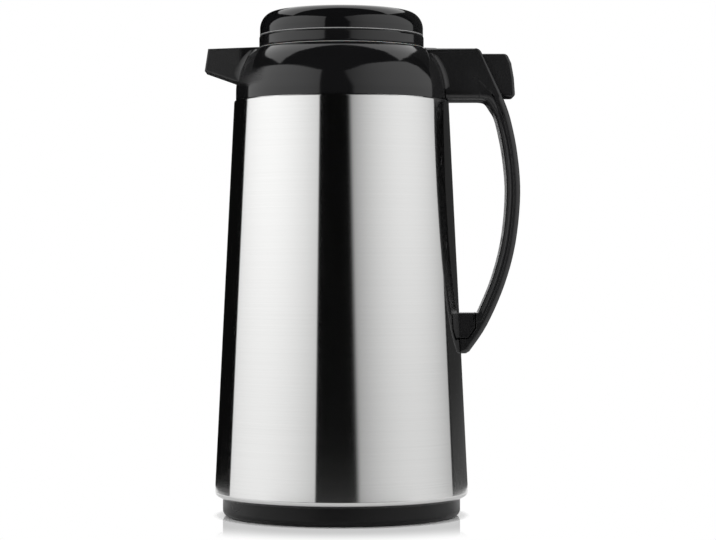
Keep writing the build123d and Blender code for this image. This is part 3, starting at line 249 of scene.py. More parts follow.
# ---- Flask cushion, spacers, shoulder ring and neck gasket ----
# Soft silicone, moulded in pale grey. It holds the glass off the steel at the foot and the
# shoulder, and seals the glass lip against the collar.
def silicone(name, colour, dust):
    """Moulded silicone: even, softly glossy, dusty in patches."""
    material, tree, shader, place = begin_finish(name)
    tint(tree, shader, colour, mottle(tree, place, 0.009, 1.0 - dust, 1.0 + dust))
    tree.links.new(mottle(tree, place, 0.006, 0.42, 0.58), shader.inputs["Roughness"])
    emboss(tree, shader, mottle(tree, place, 0.0012, 0.0, 1.0), 0.2, 0.00008)
    shader.inputs["Subsurface Weight"].default_value = 0.15
    shader.inputs["Subsurface Scale"].default_value = 0.002
    return material


pale_silicone = silicone("pale_silicone", (0.50, 0.50, 0.48), dust=0.06)
for name in ("liner_cushion", "liner_spacers", "liner_shoulder_ring", "neck_gasket"):
    dress(name, pale_silicone)


# ---- Foot ring and service cap ----
# Black polypropylene. The ring plugs into the jacket and stands on the table; the cap screws
# up into it with a coin and presses the cushion against the glass.
def black_moulding(name, colour, roughness, grain, grain_size, sheen_patch=0.022):
    """Black moulding: a fine grain in its gloss and a slight drift in its tone."""
    material, tree, shader, place = begin_finish(name)
    tint(tree, shader, colour, mottle(tree, place, sheen_patch, 0.90, 1.10))
    dull = mottle(tree, place, sheen_patch, roughness * 0.9, roughness * 1.1)
    tree.links.new(dull, shader.inputs["Roughness"])
    emboss(tree, shader, mottle(tree, place, grain_size, 0.0, 1.0, 3.0), grain, grain_size * 0.4)
    return material


foot_black = black_moulding("foot_black", (0.0040, 0.0040, 0.0043),
                            roughness=0.30, grain=0.10, grain_size=0.0006)
foot_black.node_tree.nodes["Principled BSDF"].inputs["Specular IOR Level"].default_value = 0.20
for name in ("base_ring", "base_cap"):
    dress(name, foot_black)

# ---- Jacket ----
# One sleeve of stainless steel sheet, spun to a taper, folded in at both ends and brushed
# round its axis, so that it mirrors sharply across and softly up and down.
MM = 0.001
jacket_sizes = {
    "Top fold radius": 62.6,
    "Top radius": 65.7,
    "Top height": 253.3,
    "Base radius": 77.5,
    "Base height": 13.4,
    "Foot radius": 73.4,
    "Foot height": 11.0,
    "Foot fold radius": 72.0,
    "Top round": 1.1,
    "Base round": 3.0,
}
jacket_wall = 0.6


def named_inputs(tree, sizes):
    """Give a geometry tree its output and one named input for each size; returns their sockets."""
    tree.interface.new_socket("Geometry", in_out="OUTPUT", socket_type="NodeSocketGeometry")
    for name, size in sizes.items():
        socket = tree.interface.new_socket(name, in_out="INPUT", socket_type="NodeSocketFloat")
        socket.default_value = size
    tree.interface.new_socket("Finish", in_out="INPUT", socket_type="NodeSocketMaterial")
    return tree.nodes.new("NodeGroupInput").outputs


def end_tree(tree, shape, finish):
    """End a geometry tree: instances are made real and the finish is laid on."""
    real = wire(tree, "GeometryNodeRealizeInstances", shape)
    dressed = wire(tree, "GeometryNodeSetMaterial", real.outputs[0])
    tree.links.new(finish, dressed.inputs["Material"])
    wire(tree, "NodeGroupOutput", dressed.outputs[0])


def maker(name, tree, sizes, finish, points=()):
    """An object that a geometry tree turns into a piece; sizes in millimetres."""
    made = bpy.data.objects.new(name + "_maker", bpy.data.meshes.new(name + "_maker"))
    made.data.from_pydata(points, [], [])
    scene.collection.objects.link(made)
    modifier = made.modifiers.new("maker", "NODES")
    modifier.node_group = tree
    for item in tree.interface.items_tree:
        if item.name == "Finish":
            modifier[item.identifier] = finish
        elif item.name in sizes:
            modifier[item.identifier] = sizes[item.name] * MM
    return made


def plain_piece(name, source):
    """Turn an object with modifiers into a plain mesh object and drop the source."""
    evaluated = source.evaluated_get(bpy.context.evaluated_depsgraph_get())
    piece = bpy.data.objects.new(name, bpy.data.meshes.new_from_object(evaluated))
    scene.collection.objects.link(piece)
    bpy.data.objects.remove(source)
    piece.name = name
    return piece


steel, tree, shader, place = begin_finish("brushed_steel")
drawn = wire(tree, "ShaderNodeMapping", place, None, None, (5.0, 5.0, 3400.0))
lines = wire(tree, "ShaderNodeTexNoise", drawn.outputs[0], None, 1.0, 3.0, 0.7)
tint(tree, shader, (0.66, 0.66, 0.655), spread(tree, lines, 0.975, 1.025))
tree.links.new(spread(tree, lines, 0.095, 0.120), shader.inputs["Roughness"])
shader.inputs["Metallic"].default_value = 1.0
shader.inputs["Anisotropic"].default_value = 0.9
shader.inputs["Anisotropic Rotation"].default_value = 0.25
round_axis = wire(tree, "ShaderNodeTangent", direction_type="RADIAL", axis="Z")
tree.links.new(round_axis.outputs[0], shader.inputs["Tangent"])

tree = bpy.data.node_groups.new("spun_jacket", "GeometryNodeTree")
size = named_inputs(tree, jacket_sizes)
corners = (
    ("Top fold radius", "Top height", None),
    ("Top radius", "Top height", "Top round"),
    ("Base radius", "Base height", "Base round"),
    ("Foot radius", "Foot height", "Top round"),
    ("Foot fold radius", "Foot height", None),
)
index = wire(tree, "GeometryNodeInputIndex").outputs[0]
where = wire(tree, "GeometryNodeIndexSwitch", data_type="VECTOR")
bend = wire(tree, "GeometryNodeIndexSwitch", data_type="FLOAT")
for switch in (where, bend):
    for _ in corners[2:]:
        switch.index_switch_items.new()
    tree.links.new(index, switch.inputs[0])
for number, (radius, level_of, round_of) in enumerate(corners, 1):
    below = sum_up(tree, "MULTIPLY", size[level_of], -1.0)
    corner = wire(tree, "ShaderNodeCombineXYZ", size[radius], below)
    tree.links.new(corner.outputs[0], where.inputs[number])
    if round_of:
        tree.links.new(size[round_of], bend.inputs[number])
line = wire(tree, "GeometryNodeMeshLine")
line.inputs["Count"].default_value = len(corners)
placed = wire(tree, "GeometryNodeSetPosition", line.outputs[0])
tree.links.new(where.outputs[0], placed.inputs["Position"])
section = wire(tree, "GeometryNodeMeshToCurve", placed.outputs[0])
filleted = wire(tree, "GeometryNodeFilletCurve", section.outputs[0], 10, mode="POLY")
tree.links.new(bend.outputs[0], filleted.inputs["Radius"])
round_steps = 256
# The section is swept round a circle of next to no radius, which spins it on the axis.
turn = wire(tree, "GeometryNodeCurvePrimitiveCircle")
turn.inputs["Resolution"].default_value = round_steps
turn.inputs["Radius"].default_value = 0.000001
spun = wire(tree, "GeometryNodeCurveToMesh", turn.outputs[0], filleted.outputs[0])
smooth = wire(tree, "GeometryNodeSetShadeSmooth", spun.outputs[0])
end_tree(tree, smooth.outputs[0], size["Finish"])
blank = maker("steel_jacket", tree, jacket_sizes, steel)
sheet_metal = blank.modifiers.new("sheet_metal", "SOLIDIFY")
sheet_metal.thickness = jacket_wall * MM
sheet_metal.offset = -1.0
jacket = plain_piece("steel_jacket", blank)
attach(jacket, "body")
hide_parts("outer_shell")


# ---- Foot bracket and its rivets ----
# A small black moulding riveted to the jacket; the handle's foot hooks round it and is
# screwed to it. The rivets' heads are inside the jacket.
def jacket_r(z):
    """Outer radius of the jacket's taper at a height, in millimetres."""
    foot, top = jacket_sizes["Base height"], jacket_sizes["Top height"]
    wide, narrow = jacket_sizes["Base radius"], jacket_sizes["Top radius"]
    return wide + (narrow - wide) * ((z - foot) / (top - foot))


def arc_corner(before, corner, after, radius):
    """Points of the arc that rounds off a corner of a side outline."""
    steps = 6
    corner, into, out = Vector(corner), Vector(before), Vector(after)
    into, out = (into - corner).normalized(), (out - corner).normalized()
    half = into.angle(out) / 2
    start = corner + into * radius / (sin(half) / cos(half))
    centre = corner + (into + out).normalized() * radius / sin(half)
    end = corner + out * (start - corner).length
    first, last = (start - centre).normalized(), (end - centre).normalized()
    return [centre + first.slerp(last, step / steps) * radius for step in range(steps + 1)]


def side_outline(corners):
    """Corners (x, z, edge round, corner radius) to points (x, z, edge round) with arcs."""
    points = []
    for i, (x, z, edge_round, radius) in enumerate(corners):
        if radius:
            before, after = corners[i - 1][:2], corners[(i + 1) % len(corners)][:2]
            points += [(p.x, p.y, edge_round) for p in arc_corner(before, (x, z), after, radius)]
        else:
            points.append((x, z, edge_round))
    return points


def flow(points):
    """A smooth line through side points, with a few more points in each run."""
    steps = 5
    line = []
    for i in range(len(points) - 1):
        a, b = Vector(points[max(i - 1, 0)]), Vector(points[i])
        c, d = Vector(points[i + 1]), Vector(points[min(i + 2, len(points) - 1)])
        for step in range(steps):
            t = step / steps
            p = b + (c - a) * 0.5 * t + (a - b * 2.5 + c * 2 - d * 0.5) * t * t
            p += (b * 1.5 - a * 0.5 - c * 1.5 + d * 0.5) * t * t * t
            line.append((p.x, p.y))
    return line + [tuple(points[-1])]


def slab(outline, half, arc_steps=5):
    """A moulding from its side outline: each edge of both sides has its own rounding.

    The outline holds (x, z, round), the round belonging to the edge that starts there.
    """
    count = len(outline)
    area = sum(outline[i - 1][0] * outline[i][1] - outline[i][0] * outline[i - 1][1]
               for i in range(count))
    turn = 1.0 if area > 0 else -1.0
    normals = []
    for i in range(count):
        (x0, z0, _), (x1, z1, _) = outline[i], outline[(i + 1) % count]
        span = hypot(x1 - x0, z1 - z0)
        normals.append((-turn * (z1 - z0) / span, turn * (x1 - x0) / span))
    shape = bmesh.new()
    rings = []
    for side in (1, -1):
        for step in range(arc_steps + 1):
            lean = radians(90 * (step if side > 0 else arc_steps - step) / arc_steps)
            ring = []
            for i, (x, z, after) in enumerate(outline):
                before = outline[i - 1][2]
                (ax, az), (bx, bz) = normals[i - 1], normals[i]
                p, q = before * (1 - sin(lean)), after * (1 - sin(lean))
                cross = ax * bz - az * bx
                if abs(cross) > 0.2:
                    dx, dz = (p * bz - q * az) / cross, (q * ax - p * bx) / cross
                else:
                    fit = (p + q) / hypot(ax + bx, az + bz) ** 2
                    dx, dz = (ax + bx) * fit, (az + bz) * fit
                y = half - max(before, after) * (1 - cos(lean))
                ring.append(shape.verts.new((x + dx, side * y, z + dz)))
            rings.append(ring)
    for one, two in zip(rings, rings[1:]):
        for i in range(count):
            j = (i + 1) % count
            shape.faces.new((one[i], one[j], two[j], two[i]))
    shape.faces.new(rings[0])
    shape.faces.new(reversed(rings[-1]))
    return shape


def evened(piece, weight=50):
    """Smooth a piece: edges over the angle stay sharp, and the large faces stay flat."""
    piece.data.set_sharp_from_angle(angle=radians(35))
    even = piece.modifiers.new("even", "WEIGHTED_NORMAL")
    even.keep_sharp = True
    even.weight = weight
    return plain_piece(piece.name, piece)


def new_object(name, shape):
    """Turn a shape into an object of the scene."""
    made = bpy.data.objects.new(name, bpy.data.meshes.new(name))
    shape.to_mesh(made.data)
    shape.free()
    scene.collection.objects.link(made)
    return made


def finished(name, shape, material):
    """Scale a shape from millimetres, smooth it, give it its finish and make it a piece."""
    merge = 0.0002 * MM
    bmesh.ops.scale(shape, vec=(MM, MM, MM), verts=shape.verts)
    bmesh.ops.remove_doubles(shape, verts=shape.verts, dist=merge)
    bmesh.ops.dissolve_degenerate(shape, edges=shape.edges, dist=merge)
    bmesh.ops.recalc_face_normals(shape, faces=shape.faces)
    piece = new_object(name, shape)
    piece.data.shade_smooth()
    piece.data.materials.append(material)
    return evened(piece, weight=100)


grained_black = black_moulding("grained_black", (0.0085, 0.0085, 0.0090),
                               roughness=0.25, grain=0.16, grain_size=0.0005)
bracket_half = 11.0
bracket_top, bracket_low = 124.0, 107.9
bracket_rear, bracket_toe, bracket_bevel = 81.9, 77.3, 114.5
bracket_shape = slab(
    side_outline([
        (jacket_r(bracket_low), bracket_low, 1.5, 0),
        (bracket_toe, bracket_low, 1.5, 1.0),
        (bracket_rear, bracket_bevel, 1.5, 1.0),
        (bracket_rear, bracket_top, 1.5, 0.8),
        (jacket_r(bracket_top), bracket_top, 0.1, 0),
    ]),
    bracket_half,
)
# The side that lies on the jacket takes the jacket's curve.
front_limit, bracket_gap = 75.5, 0.05
for vert in bracket_shape.verts:
    if vert.co.x < front_limit:
        vert.co.x = sqrt((jacket_r(vert.co.z) + bracket_gap) ** 2 - vert.co.y ** 2)
bracket = finished("foot_bracket", bracket_shape, grained_black)
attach(bracket, "body")
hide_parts("handle_foot_bracket")


def bright_steel(name, colour, roughness, turned):
    """Bright nickel-plated steel with fine turning marks."""
    material, tree, shader, place = begin_finish(name)
    marks = wire(tree, "ShaderNodeTexNoise", place, None, 1 / turned, 2.0, 0.6)
    tint(tree, shader, colour, spread(tree, marks, 0.92, 1.05))
    rough = spread(tree, marks, roughness * 0.8, roughness * 1.2)
    tree.links.new(rough, shader.inputs["Roughness"])
    shader.inputs["Metallic"].default_value = 1.0
    return material


nickel = bright_steel("nickel_plated", (0.62, 0.61, 0.58), roughness=0.22, turned=0.0009)
dress("bracket_rivets", nickel)

# ---- Collar and spout ----
# One black moulding pressed onto the jacket's top: a round shoulder, the bowl that the lid's
# stopper fills, and a hollow spout whose sides flow into the shoulder.
collar_sizes = {"r": 64.7, "centre": 39.7, "rx": 25.0, "rz": 30.86, "start": 258.0, "rim": 285.2}


def collar_r(z):
    """Outer radius of the collar at a height, in millimetres."""
    rise = min(max((z - collar_sizes["start"]) / collar_sizes["rz"], 0.0), 0.999)
    return collar_sizes["centre"] + collar_sizes["rx"] * sqrt(1 - rise * rise)


def flare(shape, start, direction, low, high, radius, fade_low, fade_high):
    """Concave fillet between the round shoulder and a wall.

    The wall stands on the plan line from start along direction. The fillet fades out over
    the given heights at its two ends.
    """
    along = Vector(direction).normalized()
    outward = Vector((-along.y, along.x))
    if outward.dot(Vector(start)) < 0:
        outward = -outward
    rows = []
    levels, steps, least_bow = 28, 8, 0.15
    for level in range(levels + 1):
        z = low + (high - low) * level / levels
        ends = min((z - low) / fade_low, (high - z) / fade_high, 1.0)
        fade = sin(radians(90 * max(ends, 0.0)))
        bow = max(radius * fade, least_bow)
        offset = Vector(start) + outward * bow
        reach = collar_r(z) + bow
        step_b = offset.dot(along)
        centre = offset + along * (-step_b + sqrt(step_b ** 2 - offset.length_squared + reach ** 2))
        first = -outward
        last = -centre.normalized()
        row = [centre + first.slerp(last, k / steps) * bow for k in range(steps + 1)]
        root = Vector(start) + along * ((centre - Vector(start)).dot(along) - bow)
        rows.append([shape.verts.new((p.x, p.y, z)) for p in [*row, root * 0.999]])
    for one, two in zip(rows, rows[1:]):
        for k in range(steps):
            face = (one[k], one[k + 1], two[k + 1], two[k])
            right_way = outward.x * along.y - outward.y * along.x < 0
            shape.faces.new(face if right_way else reversed(face))
    for row, upward in ((rows[-1], 1), (rows[0], -1)):
        cap = shape.faces.new(row)
        cap.normal_update()
        if cap.normal.z * upward < 0:
            cap.normal_flip()


collar_black, tree, shader, place = begin_finish("collar_black")
tint(tree, shader, (0.0062, 0.0062, 0.0066), mottle(tree, place, 0.03, 0.92, 1.08))
across, deep, tall = wire(tree, "ShaderNodeSeparateXYZ", place).outputs
across_square = sum_up(tree, "MULTIPLY", across, across)
deep_square = sum_up(tree, "MULTIPLY", deep, deep)
from_axis = sum_up(tree, "SQRT", sum_up(tree, "ADD", across_square, deep_square))
# The spout alone is grained: past the shoulder's edge, above its foot and on its own side.
grained = sum_up(tree, "MULTIPLY", ramp(tree, from_axis, 0.0612, 0.0655), ramp(tree, tall, 0.2590, 0.2640))
grained = sum_up(tree, "MULTIPLY", grained, ramp(tree, across, -0.040, -0.050))
rough = wire(tree, "ShaderNodeMapRange", grained, 0.0, 1.0, 0.085, 0.40)
tree.links.new(rough.outputs[0], shader.inputs["Roughness"])
grain = mottle(tree, place, 0.0005, 0.0, 1.0, 3.0)
grain = sum_up(tree, "MULTIPLY", grain, sum_up(tree, "ADD", grained, 0.03))
emboss(tree, shader, grain, 0.30, 0.0002)

# The drawn shape's own surface directions are carried over, so that its shoulder stays smooth.
drawn_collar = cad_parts["collar"].data.copy()
drawn_ways = drawn_collar.attributes.new("drawn_way", "FLOAT_VECTOR", "CORNER")
flat_ways = [part for normal in drawn_collar.corner_normals for part in normal.vector]
drawn_ways.data.foreach_set("vector", flat_ways)
collar_shape = bmesh.new()
collar_shape.from_mesh(drawn_collar)
bmesh.ops.remove_doubles(collar_shape, verts=collar_shape.verts, dist=0.002 * MM)
bmesh.ops.scale(collar_shape, vec=(1 / MM,) * 3, verts=collar_shape.verts)
spout_root, spout_tip = (-44.5, 18.0), (-83.1, 13.0)
for side in (1, -1):
    flare(collar_shape, (spout_root[0], side * spout_root[1]),
          (spout_tip[0] - spout_root[0], side * (spout_tip[1] - spout_root[1])),
          low=264.6, high=284.4, radius=6.5, fade_low=5.0, fade_high=1.5)
bmesh.ops.scale(collar_shape, vec=(MM,) * 3, verts=collar_shape.verts)
collar = new_object("collar_and_spout", collar_shape)
collar.data.shade_smooth()
kept_ways = collar.data.attributes["drawn_way"]
collar.data.normals_split_custom_set([item.vector for item in kept_ways.data])
collar.data.attributes.remove(kept_ways)
collar.data.materials.clear()
collar.data.materials.append(collar_black)
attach(collar, "body")
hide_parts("collar")

# ---- Handle ----
# The outer moulding: a block screwed to the collar from inside, the back of the grip and the
# foot, in one piece of finely grained black polypropylene.
handle_half, foot_half = 15.0, 12.5
narrow_low, narrow_high = 124.0, 243.0
block_top, block_low, block_rear = 284.8, 253.1, 83.8
grip_line = [(97.6, 256.4), (102.5, 243.0), (107.0, 221.0), (108.8, 196.0), (106.0, 166.5), (99.3, 141.0),
             (88.6, 116.5), (77.8, 100.4)]
foot_toe = (75.7, 99.2)
skin, thickness = 3.9, 8.2
seam_gap, fit_gap = 0.02, 0.3


def inset(points, distance):
    """Side points moved towards the body, square to the line that they lie on."""
    moved = []
    for i, (x, z) in enumerate(points):
        (x0, z0), (x1, z1) = points[max(i - 1, 0)], points[min(i + 1, len(points) - 1)]
        span = hypot(x1 - x0, z1 - z0)
        moved.append((x + distance * (z1 - z0) / span, z - distance * (x1 - x0) / span))
    return moved


def narrowed(shape):
    """The grip is narrower at its foot than at the block."""
    for vert in shape.verts:
        share = min(max((vert.co.z - narrow_low) / (narrow_high - narrow_low), 0.0), 1.0)
        vert.co.y *= (foot_half + (handle_half - foot_half) * share) / handle_half


def set_on(shape, limit):
    """Bring the points in front of a limit onto the round body, a fitting gap away from it."""
    for vert in shape.verts:
        z = vert.co.z
        if vert.co.x < limit(z):
            body_r = collar_r(z) if z > jacket_sizes["Top height"] else jacket_r(z)
            vert.co.x = sqrt(max((body_r + fit_gap) ** 2 - vert.co.y ** 2, 0.0))


def without(piece, shape):
    """Take a shape, drawn in millimetres, out of a piece."""
    bmesh.ops.scale(shape, vec=(MM,) * 3, verts=shape.verts)
    tool = new_object("cutter", shape)
    hole = piece.modifiers.new("hole", "BOOLEAN")
    hole.object = tool
    hole.solver = "EXACT"
    cleared = plain_piece(piece.name, piece)
    bpy.data.objects.remove(tool)
    return cleared


def cut(piece, outline, half):
    """Cut a slab-shaped hole, given by its side outline, out of a piece."""
    shape = slab([(x, z, 0.0) for x, z in outline], half, 1)
    bmesh.ops.remove_doubles(shape, verts=shape.verts, dist=0.001)
    bmesh.ops.recalc_face_normals(shape, faces=shape.faces)
    return without(piece, shape)


def bored(piece, centre, direction, radius, depth):
    """Drill a round hole into a piece, from a side point along a side direction."""
    shape = bmesh.new()
    bmesh.ops.create_cone(shape, cap_ends=True, segments=32, radius1=radius, radius2=radius, depth=depth)
    aim = Vector((direction[0], 0, direction[1])).normalized()
    turn = Vector((0, 0, 1)).rotation_difference(aim).to_matrix()
    middle = Vector((centre[0], 0, centre[1])) + aim * depth / 2
    bmesh.ops.rotate(shape, cent=(0, 0, 0), matrix=turn, verts=shape.verts)
    bmesh.ops.translate(shape, vec=middle, verts=shape.verts)
    return without(piece, shape)


seam = inset(grip_line, skin)
front_levels = (block_low, 258.0, 262.0, 266.0, 270.0, 274.0, 277.0, 280.0, 282.5)
front = [(collar_r(z) + fit_gap, z, 0.1, 0) for z in front_levels]
grip_root, cover_root = (91.1, 258.2), (83.6, 264.3)
handle_corners = [
    (collar_r(block_top) + fit_gap, block_top, 3.4, 0),
    (block_rear, block_top, 1.2, 4.5),
    *[(x, z, 3.2, 0) for x, z in flow(grip_line)],
    (*foot_toe, 2.0, 0),
    (jacket_r(foot_toe[1]) + fit_gap, foot_toe[1], 0.1, 0),
    (jacket_r(bracket_low) + fit_gap, bracket_low - seam_gap, 0.4, 0),
    (bracket_toe, bracket_low - seam_gap, 0.4, 0),
    (bracket_rear + seam_gap, bracket_bevel - seam_gap, 0.4, 0),
    (bracket_rear + seam_gap, seam[-2][1], 0.5, 0),
    *[(x + seam_gap, z, 0.5, 0) for x, z in reversed(flow(seam[1:-1]))],
    (grip_root[0] + seam_gap, grip_root[1] + seam_gap, 0.5, 0),
    (cover_root[0] - seam_gap, cover_root[1] + seam_gap, 0.1, 0),
    (cover_root[0] - seam_gap, block_low, 6.0, 0),
    *front,
]
handle_shape = slab(side_outline(handle_corners), handle_half, 6)
narrowed(handle_shape)
collar_reach, jacket_reach = 1.5, 0.8
set_on(handle_shape, lambda z: collar_r(z) + collar_reach if z > jacket_sizes["Top height"]
       else jacket_r(z) + jacket_reach)
for side in (1, -1):
    flare(handle_shape, (40.0, side * handle_half), (1.0, 0.0),
          low=259.6, high=282.0, radius=4.0, fade_low=2.0, fade_high=2.0)
handle = finished("handle_moulding", handle_shape, grained_black)
# The block's openings: the lever's bay, the slot for its nose and the pocket for the lid's arm.
lever_bay = [(66.0, 282.4), (66.0, 257.5), (80.5, 257.5), (82.0, 266.2), (85.5, 266.2), (92.5, 260.0),
             (96.9, 249.6), (116.0, 248.2), (116.0, 282.4)]
nose_slot = [(40, 264.2), (66.6, 264.2), (66.6, 279.4), (40, 279.4)]
hinge_pocket = [(40, 279.3), (61.6, 279.3), (61.6, 290), (40, 290)]
for outline, half in ((lever_bay, 11.0), (nose_slot, 6.6), (hinge_pocket, 9.4)):
    handle = cut(handle, outline, half)
foot_screw_seat = (bracket_rear, 110.6)
handle = bored(handle, foot_screw_seat, (1, 0), radius=2.5, depth=30.0)
handle = evened(handle)
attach(handle, "body")
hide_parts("handle")

# ---- Grip cover ----
# The inner moulding, which closes the grip on the side of the fingers. Two screws from that
# side hold it in the outer one, and a fine open seam shows all round it.
inner_line = inset(grip_line, thickness)
cover_line = [(83.3, bracket_top + seam_gap), *reversed(inner_line[1:-2]), (90.6, 248.6), (87.6, 252.3),
              (cover_root[0], block_low)]


def cover_round(z):
    """The cover's edges are rounder where it widens into the block."""
    return 3.4 + 2.6 * min(max((z - 236.0) / 16.0, 0.0), 1.0)


cover_corners = [
    (*cover_root, 0.5, 0),
    (*grip_root, 0.5, 0),
    *[(x, z, 0.5, 0) for x, z in flow(seam[1:-1])],
    (bracket_rear + seam_gap, seam[-2][1], 0.3, 0),
    (bracket_rear + seam_gap, bracket_top + seam_gap, 0.5, 0),
    *[(x, z, cover_round(z), 0) for x, z in flow(cover_line)[:-1]],
    (cover_root[0], block_low, 0.1, 0),
]
cover_shape = slab(side_outline(cover_corners), handle_half, 6)
narrowed(cover_shape)
grip_cover = finished("grip_cover", cover_shape, grained_black)
screw_seats = []
head_height, below_face = 1.5, 0.4
for number in (2, 4):
    outer, inner = Vector(grip_line[number]), Vector(inner_line[number])
    aim = (outer - inner).normalized()
    seat = inner + aim * (below_face + head_height)
    screw_seats.append((seat, aim))
    grip_cover = bored(grip_cover, seat, -aim, radius=2.4, depth=8.0)
grip_cover = evened(grip_cover)
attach(grip_cover, "body")
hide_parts("handle_grip_cover")


# ---- Screws ----
# Self-tapping pan-head screws with a cross recess, zinc plated: four from inside the collar
# into the block, two in the grip, one in the foot, four that hold the stopper to the lid.
def screw_tree():
    """One screw, its head's underside at the origin and its tip down, put on every point."""
    shank_rings = 9
    tree = bpy.data.node_groups.new("pan_head_screw", "GeometryNodeTree")
    tree.interface.new_socket("Points", in_out="INPUT", socket_type="NodeSocketGeometry")
    size = named_inputs(tree, {"Head radius": 2.0, "Head height": 1.5, "Shank radius": 1.1, "Length": 6.0})
    # The head narrows towards its top, where a cross of two bars is taken out of it.
    head = wire(tree, "GeometryNodeMeshCone")
    head.inputs["Vertices"].default_value = 28
    head.inputs["Side Segments"].default_value = 2
    tree.links.new(sum_up(tree, "MULTIPLY", size["Head radius"], 0.80), head.inputs["Radius Top"])
    tree.links.new(size["Head radius"], head.inputs["Radius Bottom"])
    tree.links.new(size["Head height"], head.inputs["Depth"])
    deep = sum_up(tree, "MULTIPLY", size["Head height"], 1.2)
    wide = sum_up(tree, "MULTIPLY", size["Head radius"], 1.15)
    thin = sum_up(tree, "MULTIPLY", size["Head radius"], 0.26)
    lift = wire(tree, "ShaderNodeCombineXYZ", None, None, size["Head height"])
    slots = []
    for sides in ((wide, thin, deep), (thin, wide, deep)):
        bar = wire(tree, "GeometryNodeMeshCube")
        tree.links.new(wire(tree, "ShaderNodeCombineXYZ", *sides).outputs[0], bar.inputs["Size"])
        moved = wire(tree, "GeometryNodeTransform")
        tree.links.new(bar.outputs[0], moved.inputs["Geometry"])
        tree.links.new(lift.outputs[0], moved.inputs["Translation"])
        slots.append(moved.outputs[0])
    recess = wire(tree, "GeometryNodeMeshBoolean", operation="DIFFERENCE", solver="EXACT")
    tree.links.new(head.outputs[0], recess.inputs["Mesh 1"])
    for slot in slots:
        tree.links.new(slot, recess.inputs["Mesh 2"])
    shank = wire(tree, "GeometryNodeMeshCone")
    shank.inputs["Vertices"].default_value = 20
    shank.inputs["Side Segments"].default_value = shank_rings
    tree.links.new(size["Shank radius"], shank.inputs["Radius Bottom"])
    tree.links.new(size["Shank radius"], shank.inputs["Radius Top"])
    tree.links.new(size["Length"], shank.inputs["Depth"])
    # The thread: every other ring of the shank is a little narrower.
    spot = wire(tree, "GeometryNodeInputPosition").outputs[0]
    x, y, z = wire(tree, "ShaderNodeSeparateXYZ", spot).outputs
    share = sum_up(tree, "DIVIDE", z, size["Length"])
    ridge = sum_up(tree, "COSINE", sum_up(tree, "MULTIPLY", share, shank_rings * pi))
    waist = sum_up(tree, "SUBTRACT", 0.92, sum_up(tree, "MULTIPLY", ridge, 0.08))
    thread = wire(tree, "GeometryNodeSetPosition", shank.outputs[0])
    slim = wire(tree, "ShaderNodeCombineXYZ",
                sum_up(tree, "MULTIPLY", x, waist), sum_up(tree, "MULTIPLY", y, waist), z)
    tree.links.new(slim.outputs[0], thread.inputs["Position"])
    hang = wire(tree, "GeometryNodeTransform")
    tree.links.new(thread.outputs[0], hang.inputs["Geometry"])
    drop = wire(tree, "ShaderNodeCombineXYZ", None, None, sum_up(tree, "MULTIPLY", size["Length"], -1.0))
    tree.links.new(drop.outputs[0], hang.inputs["Translation"])
    whole = wire(tree, "GeometryNodeJoinGeometry")
    tree.links.new(recess.outputs[0], whole.inputs[0])
    tree.links.new(hang.outputs[0], whole.inputs[0])
    axis = wire(tree, "GeometryNodeInputNamedAttribute", "axis", data_type="FLOAT_VECTOR")
    aim = wire(tree, "FunctionNodeAlignRotationToVector", axis="Z")
    tree.links.new(axis.outputs[0], aim.inputs["Vector"])
    placed = wire(tree, "GeometryNodeInstanceOnPoints", size["Points"])
    tree.links.new(whole.outputs[0], placed.inputs["Instance"])
    tree.links.new(aim.outputs[0], placed.inputs["Rotation"])
    end_tree(tree, placed.outputs[0], size["Finish"])
    return tree


zinc = bright_steel("zinc_plated", (0.55, 0.55, 0.56), roughness=0.30, turned=0.0007)
pan_head = screw_tree()


def screws(name, node, body, spots, sizes):
    """Screws at (place, outward direction), in one piece; sizes in millimetres."""
    stand = maker(name, pan_head, sizes, zinc, [Vector(place) * MM for place, _ in spots])
    ways = stand.data.attributes.new("axis", "FLOAT_VECTOR", "POINT")
    for item, (_, way_out) in zip(ways.data, spots):
        item.vector = Vector(way_out).normalized()
    piece = plain_piece(name, stand)
    piece.data.shade_smooth()
    piece.data.set_sharp_from_angle(angle=radians(30))
    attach(piece, body)
    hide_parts(node)


screws("block_screws", "handle_screws", "body",
       [((52.5, y, z), (-1, 0, 0)) for y in (-13.0, 13.0) for z in (260.4, 271.0)],
       {"Head radius": 2.3, "Head height": 1.8, "Shank radius": 1.2, "Length": 16.5})
screws("grip_screws", "cover_screws", "body",
       [((seat.x, 0, seat.y), (-aim.x, 0, -aim.y)) for seat, aim in screw_seats],
       {"Head radius": 2.1, "Head height": head_height, "Shank radius": 1.1, "Length": 5.6})
screws("foot_fixing_screw", "foot_screw", "body", [((foot_screw_seat[0], 0, foot_screw_seat[1]), (1, 0, 0))],
       {"Head radius": 2.2, "Head height": 1.2, "Shank radius": 1.2, "Length": 8.2})
ring_spot = 34.6 * cos(radians(45))
screws("stopper_screws", "lid_screws", "lid",
       [((x, y, 287.4), (0, 0, 1)) for x in (-ring_spot, ring_spot) for y in (-ring_spot, ring_spot)],
       {"Head radius": 2.7, "Head height": 1.8, "Shank radius": 1.4, "Length": 8.5})

